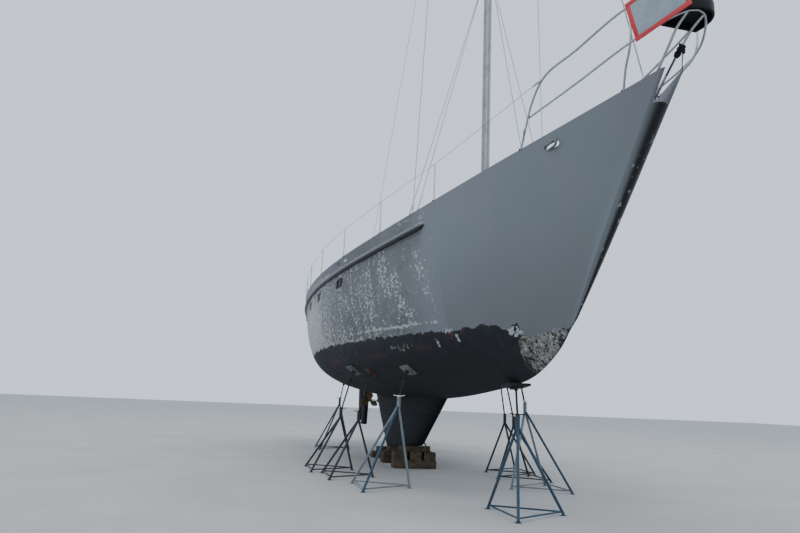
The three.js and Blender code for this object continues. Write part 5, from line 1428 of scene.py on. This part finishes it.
def make_mast():
    low = deck_z(MAST_AFT, 0) - 0.02
    rows = [[at(MAST_AFT - 0.1 * math.cos(a), 0.068 * math.sin(a), z) for a in angles(48)]
            for z in (mix(low, MAST_TOP - 0.03, i / 30) for i in range(31))]
    pole = painted(loft(rows), 'mast')
    track = eased(MAST_AFT + 0.094, MAST_AFT + 0.112, -0.016, 0.016, low + 1.2, MAST_TOP - 0.1, 0.003)
    collar = turned(at(MAST_AFT, 0, low), [
        (0.16, 0), (0.162, 0.05), (0.15, 0.075), (0.138, 0.1), (0.13, 0.16), (0.118, 0.2), (0.1, 0.205)],
        sides=48)
    head = eased(MAST_AFT - 0.188, MAST_AFT + 0.168, -0.039, 0.039, MAST_TOP - 0.06, MAST_TOP, 0.008, 2)
    gooseneck = eased(MAST_AFT + 0.085, MAST_AFT + 0.16, -0.03, 0.03, low + 1.0, low + 1.14, 0.008)
    sheaves = [turned(at(a, -0.03, MAST_TOP - 0.045), [(0.01, 0), (0.04, 0), (0.034, 0.03), (0.04, 0.06),
                                                      (0.01, 0.06)], TO_PORT, 28)
               for a in (MAST_AFT - 0.14, MAST_AFT + 0.125)]
    winches = [turned(at(MAST_AFT + 0.02, side * 0.06, low + h), [
        (0.04, 0), (0.052, 0.006), (0.052, 0.02), (0.036, 0.035), (0.034, 0.08), (0.045, 0.095),
        (0.045, 0.108), (0.01, 0.112)], side * TO_PORT, 28) for side, h in ((-1, 1.0), (1, 1.15))]
    bars = [part for z, span in SPREADERS for side in (-1, 1) for part in spreader(side, z, span)]
    fitted("mast_and_spreaders",
           [pole, painted(collar, 'rubber'), *all_painted([track, head, gooseneck], 'alloy'),
            *all_painted(sheaves, 'black'), *bars, *all_painted(winches, 'steel')],
           ["mast", "lower_spreaders", "upper_spreaders"])


def make_stays():
    # name, the deck's height at the plate, the plate's two ends and its height, where the wire starts and
    # how high, where it ends, its radius, and the turnbuckle's length
    for name, base, ends, height, foot_aft, foot_up, head_aft, radius, screw in (
            ("forestay", deck_z(0.12, 0), (0.062, 0.198), 0.088, 0.13, 0.06, MAST_AFT - 0.185, 0.0078, 0.42),
            ("backstay", deck_z(16.9, 0), (16.842, 16.978), 0.108, 16.91, 0.08, MAST_AFT + 0.165, 0.006,
             0.38)):
        plate = painted(eased(*ends, -0.008, 0.008, base - 0.02, base + height, 0.006), 'steel')
        foot, head = at(foot_aft, 0, base + foot_up), at(head_aft, 0, STAY_HEAD_Z)
        fitted(name + "_wire",
               [plate, wire(foot, head, radius)] + turnbuckle(foot, head - foot, screw), [name])
    for side, word in SIDES:
        make_shrouds(side, word)


def make_shrouds(side, word):
    middle, reach = 5.05, 0.35
    y = abs(side_at(middle, sheer_z(middle) - DECK_DROP).y) - 0.19

    def foot_at(aft):
        return at(aft, side * y, deck_z(aft, y) + 0.33)

    fore, aft = middle - reach, middle + reach
    plates = [eased(a - 0.045, a + 0.045, side * (y - 0.0075), side * (y + 0.0075),
                              deck_z(a, y) - 0.02, foot_at(a).z + 0.02, 0.005) for a in (fore, middle, aft)]
    deck = deck_z(middle, y)
    rail = eased(4.66, 5.44, side * (y - 0.007), side * (y + 0.007), deck + 0.02, deck + 0.075, 0.004)
    tips = [at(MAST_AFT + span * SPREADER_SWEEP, side * (span + 0.012), z) for z, span in SPREADERS]
    head = at(MAST_AFT, side * 0.082, MAST_TOP - 0.15)
    root = at(MAST_AFT, side * 0.08, SPREADERS[0][0] - 0.06)
    runs = [(foot_at(middle), tips[0]), (foot_at(fore), root), (foot_at(aft), root)]
    wires = [wire(a, b) for a, b in runs + [(tips[0], tips[1]), (tips[1], head)]]
    screws = [part for a, b in runs for part in turnbuckle(a, b - a, 0.34)]
    tangs = [eased(MAST_AFT - 0.03, MAST_AFT + 0.03, side * 0.06, side * 0.084, z - 0.05, z + 0.05, 0.004)
             for z in (head.z, root.z)]
    fitted("shroud_wires_" + word,
           all_painted([*plates, rail, *tangs], 'steel') + wires + screws, ["shrouds_" + word])


# Rails

THICK_TUBE, THIN_TUBE = 0.0148, 0.0128
FRONT_FOOT = 0.26, 0.05                       # distance aft and half spacing of the pulpit's front legs
PULPIT_FOOT, PULPIT_LEG = 1.95, 0.27          # distances aft of its after ends and its side legs


def rail_foot(aft, side, up=0.0):
    """The middle of the bulwark's top, or a point above it."""
    p = side_at(aft, sheer_z(aft))
    return Vector((p.x, side * (abs(p.y) - WALL / 2), p.z + up))


def flange(p, r=0.032, h=0.008):
    return turned(p - lift(0.001), [(0.001, 0), (r, 0), (r, h * 0.5), (r * 0.9, h), (0.016, h * 1.4),
                                    (0.0155, h * 4), (0.001, h * 4)], sides=24)


def top_rail(side):
    return [rail_foot(PULPIT_FOOT, side), at(1.86, side * 0.61, 4.88), at(1.66, side * 0.605, 5.19),
            at(1.34, side * 0.6, 5.372), at(0.7, side * 0.52, 5.395), at(-0.1, side * 0.41, 5.43),
            at(-0.48, side * 0.255, 5.442), at(-0.7, side * 0.13, 5.45), at(-0.758, 0, 5.45)]


def low_rail(side):
    return [at(1.81, side * 0.59, 5.04), at(0.8, side * 0.475, 5.04), at(-0.13, side * 0.37, 5.055),
            at(-0.45, side * 0.225, 5.115), at(-0.61, side * 0.09, 5.152), at(-0.64, 0, 5.16)]


def front_leg(side):
    aft, half = FRONT_FOOT
    return [at(aft, side * half, deck_z(aft, half) - 0.005), at(-0.04, side * 0.056, 4.772),
            at(-0.3, side * 0.07, 4.985), at(-0.44, side * 0.08, 5.09), at(-0.6, side * 0.088, 5.15)]


def mid_leg(side):
    return [rail_foot(PULPIT_LEG, side), at(0.095, side * 0.3, 4.89), at(-0.105, side * 0.372, 5.05),
            at(-0.15, side * 0.392, 5.43)]


def both_sides(right, r):
    """A tube from starboard to port through the points of its starboard half."""
    path = smooth_path(right, 12)
    return tube(path + port(path[:-1])[::-1], r, 1, 5)


def make_pulpit():
    parts = [both_sides(top_rail(-1), THICK_TUBE), both_sides(low_rail(-1), THIN_TUBE)]
    for side in (-1, 1):
        parts += [tube(front_leg(side), THICK_TUBE, 12, 5), tube(mid_leg(side), THIN_TUBE, 12, 5)]
        foot = at(FRONT_FOOT[0], side * FRONT_FOOT[1], deck_z(*FRONT_FOOT))
        parts += [flange(rail_foot(PULPIT_FOOT, side)), flange(rail_foot(PULPIT_LEG, side), 0.029),
                  flange(foot, 0.031)]
    fitted("bow_rail", all_painted(parts, 'steel'), ["pulpit"])


def make_seat():
    seat = painted(round_edges(copy_of("pulpit_seat"), 0.009, 3, 50), 'black')
    fitted("bow_seat", [seat], ["pulpit_seat"], angle=50)


def make_sign():
    """A blank board with a red border, hung by two ties from the pulpit's top rail."""
    low_aft, low_fore = at(-0.195, -0.366, 5.008), at(-0.766, -0.162, 5.112)
    high_aft = at(-0.145, -0.458, 5.43)
    along = (low_fore - low_aft).normalized()
    out = along.cross(high_aft - low_aft).normalized()
    upright = out.cross(along)
    length, height = (low_fore - low_aft).length, (high_aft - low_aft).dot(upright)

    def board(x0, x1, y0, y1, half_thick, paint):
        made = box(0, 1, 0, 1, 0, 1)
        for v in made.data.vertices:
            share = STEM - v.co.x, v.co.y, v.co.z
            v.co = (low_aft + along * mix(x0, x1, share[0]) + upright * mix(y0, y1, share[1])
                    + out * mix(-half_thick, half_thick, share[2]))
        return painted(round_edges(tidy_mesh(made), 0.0015), paint)

    edge, lip, skin = 0.05, 0.001, 0.0034
    parts = [board(0.004, length - 0.004, 0.004, height - 0.004, 0.0025, 'sign_face'),
             board(lip, length - lip, lip, edge, skin, 'sign_red'),
             board(lip, length - lip, height - edge, height - lip, skin, 'sign_red'),
             board(lip, edge, edge, height - edge, skin, 'sign_red'),
             board(length - edge, length - lip, edge, height - edge, skin, 'sign_red')]
    rail = top_rail(-1)
    rail_way = (rail[6] - rail[5]).normalized()
    for p in (at(-0.18, -0.381, 5.433), at(-0.56, -0.214, 5.446)):
        parts.append(painted(rod(p, p + out * (low_aft - p).dot(out), 0.0085, sides=16), 'rope'))
        for d in (-0.006, 0.002):
            parts.append(painted(ring(p + rail_way * d, 0.018, 0.0035, rail_way, 20), 'rope'))
    fitted("sign_board", parts, ["sign_panel"])


STANCHIONS = [4.01, 5.93, 7.86, 9.76, 11.7, 13.6]
PUSHPIT_FOOT = 15.9


def make_lifeline(side, word):
    heads = [rail_foot(aft, side, 0.6) for aft in STANCHIONS]
    parts = []
    for aft, head in zip(STANCHIONS, heads):
        foot = rail_foot(aft, side)
        parts += all_painted([rod(foot, head + lift(0.004), 0.0128, 0.0118, 24), flange(foot, 0.031, 0.009),
                              ball(head + lift(0.003), 0.0122, 0.55)], 'steel')
    ends = [at(1.39, side * 0.622, 5.35), *heads, rail_foot(PUSHPIT_FOOT - 0.02, side, 0.59)]
    parts += [wire(a, b, 0.0038) for a, b in zip(ends, ends[1:])]
    parts += turnbuckle(ends[0], ends[1] - ends[0], 0.16) + turnbuckle(ends[-1], ends[-2] - ends[-1], 0.16)
    fitted("guard_wire_" + word, parts, ["lifeline_" + word])


def make_pushpit():
    parts = []
    for h, r in ((0.32, 0.0118), (0.62, THICK_TUBE)):
        parts.append(both_sides([
            rail_foot(PUSHPIT_FOOT, -1, h), rail_foot(16.9, -1, h), at(17.08, -1.45, 4.345 + h),
            at(17.12, -0.7, 4.35 + h), at(17.12, 0, 4.35 + h)], r))
    for side in (-1, 1):
        for p in (rail_foot(PUSHPIT_FOOT, side), rail_foot(16.9, side), at(17.14, side * 0.56, 4.3455)):
            top = p + lift(0.62)
            parts += [rod(p, top, THICK_TUBE, sides=28), flange(p, 0.033), ball(top, 0.0149, 0.6)]
    fitted("stern_rail", all_painted(parts, 'steel'), ["pushpit"])


# Bow fittings: lashing on the front leg, its two lines, and a short chain from the rail's after end

def make_bow_gear():
    leg = smooth_path(front_leg(1), 20)
    turns = [ring(p, 0.021 + 0.004 * (k % 3), 0.008, after - p, 20)
             for k, (p, after) in enumerate(zip(leg[33:42], leg[34:]))]
    knot = leg[37] + Vector((0.036, 0.01, -0.012))
    lumps = [ball(knot + Vector(step), r, 0.9, 14) for step, r in (
        ((0, 0, 0), 0.026), ((0.018, 0.0, 0.022), 0.019), ((-0.008, -0.012, 0.03), 0.016),
        ((0.004, 0.004, -0.028), 0.018))]
    p = side_at(-0.225, 4.735)
    tip = Vector((p.x, -p.y, p.z))
    lines = [tube([knot, knot.lerp(tip, 0.5) - lift(0.012), tip + Vector((0, 0.008, 0.006))], 0.0055),
             tube([knot, leg[33] + Vector((0.02, -0.012, 0)), leg[27] + Vector((0.019, -0.008, 0)),
                   leg[21] + Vector((0.018, -0.004, 0))], 0.0065)]
    fitted("bow_lashing", all_painted(turns + lumps + lines, 'rope'))
    top = at(1.86, -0.626, 4.9)
    links = [chain_link(top - lift(0.023 * k), TO_PORT if k % 2 == 0 else AHEAD) for k in range(7)]
    fitted("short_chain", all_painted(links, 'galvanised'))


def chain_link(p, wide, half=0.0085, long=0.009, r=0.003):
    path = [p + wide * half * math.cos(a) + lift(half * math.sin(a) + (long if math.sin(a) > 0 else -long))
            for a in angles(16, 0.5)]
    return tube(path, r, 1, 2, loop=True)


def make_hawse_rims():
    rims, cleats = [], []
    for aft, drop, length, height in HAWSE_SLOTS:
        p = side_at(aft, sheer_z(aft) - drop)
        for side in (-1, 1):
            y = abs(p.y)
            inner, outer = side * (y - WALL - 0.003), side * (y + 0.003)
            rim = carve(oval(aft, p.z, length + 0.022, height + 0.022, inner, outer),
                        oval(aft, p.z, length - 0.006, height - 0.006, side * (y - 0.3), side * (y + 0.3)))
            rims.append(painted(round_edges(rim, 0.0025), 'inside'))
            cleats += cleat(at(aft, side * (y - 0.2), deck_z(aft, y - 0.2)))
    fitted("hawse_rims", rims)
    fitted("mooring_cleats", cleats)


def cleat(p):
    horns = tube([p + Vector((dx, 0, h)) for dx, h in (
        (-0.16, 0.062), (-0.09, 0.06), (0, 0.056), (0.09, 0.06), (0.16, 0.062))], 0.0125)
    legs = [rod(p + Vector((dx, 0, -0.003)), p + Vector((dx * 0.8, 0, 0.056)), 0.016, 0.011)
            for dx in (-0.05, 0.05)]
    aft = STEM - p.x
    foot = eased(aft - 0.085, aft + 0.085, p.y - 0.026, p.y + 0.026, p.z - 0.004, p.z + 0.008, 0.004)
    return all_painted([horns, *legs, foot], 'steel')


# Boat stands

# Name, station, how far up the bilge in section steps, how far the feet stand out, their shift forward,
# how far down the legs part, half length and half width of the pad, and the paints of legs and pad
STANDS = [
    ("bow", 2.5, 0, 0.0, 0.26, 0.24, 0.165, 0.165, 'blue', 'ply_dark'),
    ("fore", 5.6, 4.1, 0.5, 0.0, 0.24, 0.15, 0.12, 'galvanised', 'ply_grey'),
    ("mid", 7.2, 4.5, 0.48, 0.0, 0.4, 0.13, 0.12, 'dark', 'ply_red'),
    ("board", 8.0, 4.9, 0.48, -0.35, 0.4, 0.225, 0.15, 'dark', 'ply_blue'),
    ("aft", 13.6, 3, 0.36, 0.0, 0.24, 0.15, 0.15, 'blue', 'ply_grey')]
PAD_T, PAD_BITE, KNUCKLE_DROP, TUBE_UP, TUBE_DOWN = 0.038, 0.008, 0.03, 0.04, 0.14
FOOT_REACH = 0.6                              # from the middle between a stand's feet to each foot
THREAD_PITCH = 0.012


def on_the_bilge(station, climb):
    """Where a pad touches the hull, and its axes there: ahead, across and straight out."""
    step = int(climb)

    def point(aft):
        half = section(aft, 7, 5)
        return half[step].lerp(half[step + 1], climb - step)

    half = section(station, 7, 5)
    climbing = (half[step + 1] - half[step]).normalized() if climb else -TO_PORT
    ahead = (point(station - 0.06) - point(station + 0.06)).normalized()
    outward = ahead.cross(climbing).normalized()
    if outward.z > 0:
        outward = -outward
    return point(station), Matrix((ahead, outward.cross(ahead), outward)).transposed()


def stand_pad(name, touch, place, mirror, pad_long, pad_wide, paint):
    """The pad's two layers, the plate under them, and what some pads have on them."""
    def plate(x0, x1, y0, y1, z0, z1, width, finish):
        made = box(STEM - x0, STEM - x1, y0, y1, z0, z1)
        for v in made.data.vertices:
            v.co = mirror @ (touch + place @ v.co)
        return painted(round_edges(tidy_mesh(made), width), finish)

    def layer(z0, z1, inset):
        x, y = pad_long - inset, pad_wide - inset
        return plate(-x, x, -y, y, z0, z1, 0.003, paint)

    middle, under = PAD_T / 2 - PAD_BITE, PAD_T - PAD_BITE - 0.0015
    pieces = [layer(-PAD_BITE, middle - 0.0005, 0.001), layer(middle + 0.0005, under, 0.004),
              plate(-0.07, 0.07, -0.07, 0.07, under, under + 0.006, 0.002, paint)]
    if name == "fore":
        pieces += [plate(x - 0.012, x + 0.012, -0.09, 0.02, under - 0.001, under + 0.0012, 0.0005, 'rubber')
                   for x in (-0.085, 0.1)]
    elif name == "board":
        pieces += [plate(x, x + 0.075, y, y + 0.05, under - 0.001, under + 0.003, 0.001, 'red_cloth')
                   for x, y in ((0.135, -0.14), (0.14, -0.05))]
    elif name == "bow":
        pieces.append(plate(-0.12, 0.12, -0.05, 0.05, under, under + 0.026, 0.004, 'ply_dark'))
    return pieces


def stand_screw(joint, apex, knuckle_place, outward, mirror, nut_paint):
    """The threaded screw with its knuckle under the pad and its wing nut on the legs' tube."""
    down = apex - joint
    thread = [(r, k * THREAD_PITCH + rise) for k in range(int(down.length / THREAD_PITCH))
              for r, rise in ((0.0145, 0), (0.0168, 0.004), (0.0168, 0.007), (0.0145, 0.011))]
    screw = turned(mirror @ joint, thread, mirror @ down, 16)
    knuckle = turned(mirror @ knuckle_place, [(0.04, 0), (0.041, 0.008), (0.036, 0.022), (0.027, 0.034),
                                              (0.02, 0.05)], mirror @ outward, 24)
    nut = turned(mirror @ (apex + lift(TUBE_UP + 0.001)),
                 [(0.018, 0), (0.033, 0), (0.034, 0.01), (0.033, 0.026), (0.018, 0.028)], sides=8)
    hub = apex + lift(0.054)
    wings = [rod(mirror @ hub, mirror @ (hub + 0.12 * Vector((math.cos(a), math.sin(a), 0.1))), 0.008,
                 sides=12) for a in (0.7, 0.7 + math.pi)]
    return all_painted([screw, knuckle], 'screw') + all_painted([nut, *wings], nut_paint)


def stand_legs(apex, centre, mirror, paints):
    """A tube with three legs, each with a foot, a gusset under the tube and a brace to the next leg."""
    sleeve = turned(mirror @ (apex - lift(TUBE_DOWN)), [
        (0.001, 0), (0.033, 0), (0.033, 0.15), (0.0335, 0.155), (0.0335, 0.176), (0.03, 0.179),
        (0.018, 0.18)])
    pieces = [painted(sleeve, paints[-1])]
    head = apex + lift(TUBE_UP - TUBE_DOWN)
    feet = [centre + FOOT_REACH * Vector((math.cos(a), -math.sin(a), 0)) for a in angles(3, 0.25)]
    knees = [foot.lerp(head, 0.05 / head.z) for foot in feet]
    for k, (foot, paint) in enumerate(zip(feet, paints)):
        leg = rod(mirror @ (foot + lift(0.0155)), mirror @ head, 0.0208)
        sole = turned(mirror @ foot, [
            (0.001, 0), (0.046, 0), (0.0465, 0.004), (0.043, 0.008), (0.022, 0.0135), (0.001, 0.0138)],
            sides=28)
        brace = rod(mirror @ knees[k], mirror @ knees[(k + 1) % 3], 0.0125, sides=16)
        under_tube = foot.lerp(head, 1 - 0.06 / head.z)
        gusset = rod(mirror @ under_tube, mirror @ (apex - lift(0.12)), 0.012, sides=10)
        pieces += all_painted([leg, sole], paint) + all_painted([brace, gusset], paints[-1])
    return pieces


def make_stand(stand, side, word=""):
    name, station, climb, out, shift, share, pad_long, pad_wide, legs_paint, pad_paint = stand
    mirror = Matrix.Diagonal((1, -side, 1))
    touch, place = on_the_bilge(station, climb)
    outward = place.col[2]
    joint = touch + outward * (PAD_T + KNUCKLE_DROP)
    centre = Vector((touch.x + shift, touch.y - out, 0))
    apex = joint.lerp(centre, share)
    odd_one = name == "fore"                  # put together from different stands' parts
    first_paint, nut_paint = ('blue', 'coach') if odd_one else (legs_paint, 'screw')
    pieces = (stand_pad(name, touch, place, mirror, pad_long, pad_wide, pad_paint)
              + stand_screw(joint, apex, touch + outward * 0.034, outward, mirror, nut_paint)
              + stand_legs(apex, centre, mirror, (first_paint, legs_paint, legs_paint)))
    ending = "_" + word if word else ""
    fitted("prop_" + name + ending, pieces,
           ["stand_" + name + ending], angle=40)


make_hull()
make_keel()
make_skeg()
make_rudder()
make_shaft()
make_propeller()
for block_name, block_aft in (("keel_block_fore", 8.95), ("keel_block_mid", 10.1), ("keel_block_aft", 11.3)):
    make_keel_block(block_name, block_aft)
make_deck()
make_coachroof()
make_hatches()
make_cockpit()
make_steering()
make_windlass()
make_mast()
make_stays()
make_pulpit()
make_seat()
make_sign()
make_pushpit()
make_bow_gear()
make_hawse_rims()
for hand, hand_word in SIDES:
    make_rub_rail(hand, hand_word)
    make_portlights(hand, hand_word)
    make_doors(hand, hand_word)
    make_locker_lid(hand, hand_word)
    make_lifeline(hand, hand_word)
    for stand in STANDS[1:]:
        make_stand(stand, hand, hand_word)
make_stand(STANDS[0], -1)


# Pale floor and soft studio light

# Each lamp's place, the point it faces, its size and its power
LAMPS = [((18, -16, 16), (2, 0, 2), 14, 1000), ((4, 22, 18), (0, 0, 2), 16, 700),
         ((-2, -4, 30), (-2, 0, 0), 22, 2600)]
FLOOR_SIZE = 160
SKY_TONE, SKY_STRENGTH = (0.77, 0.87, 1.02, 1), 1.2


def make_studio():
    bpy.ops.object.select_all(action='DESELECT')
    bpy.ops.mesh.primitive_plane_add(size=FLOOR_SIZE)
    floor = bpy.context.object
    floor.name = "studio_floor"
    f = Finish("floor_pale", tone(180, 179, 175), 0.9, shine=0.2)
    f.give('Base Color', f.blend(f.noise(0.6, 3.0).rise(0.3, 0.7), tone(182, 181, 177), tone(174, 173, 169)))
    floor.data.materials.append(f.material)
    world = bpy.data.worlds.new("studio")
    bpy.context.scene.world = world
    world.use_nodes = True
    back = world.node_tree.nodes['Background']
    back.inputs['Color'].default_value = SKY_TONE
    back.inputs['Strength'].default_value = SKY_STRENGTH
    for place, aim, size, power in LAMPS:
        bpy.ops.object.light_add(type='AREA', location=place)
        lamp = bpy.context.object
        lamp.data.size, lamp.data.energy = size, power
        lamp.rotation_euler = (Vector(place) - Vector(aim)).to_track_quat('Z', 'Y').to_euler()


make_studio()
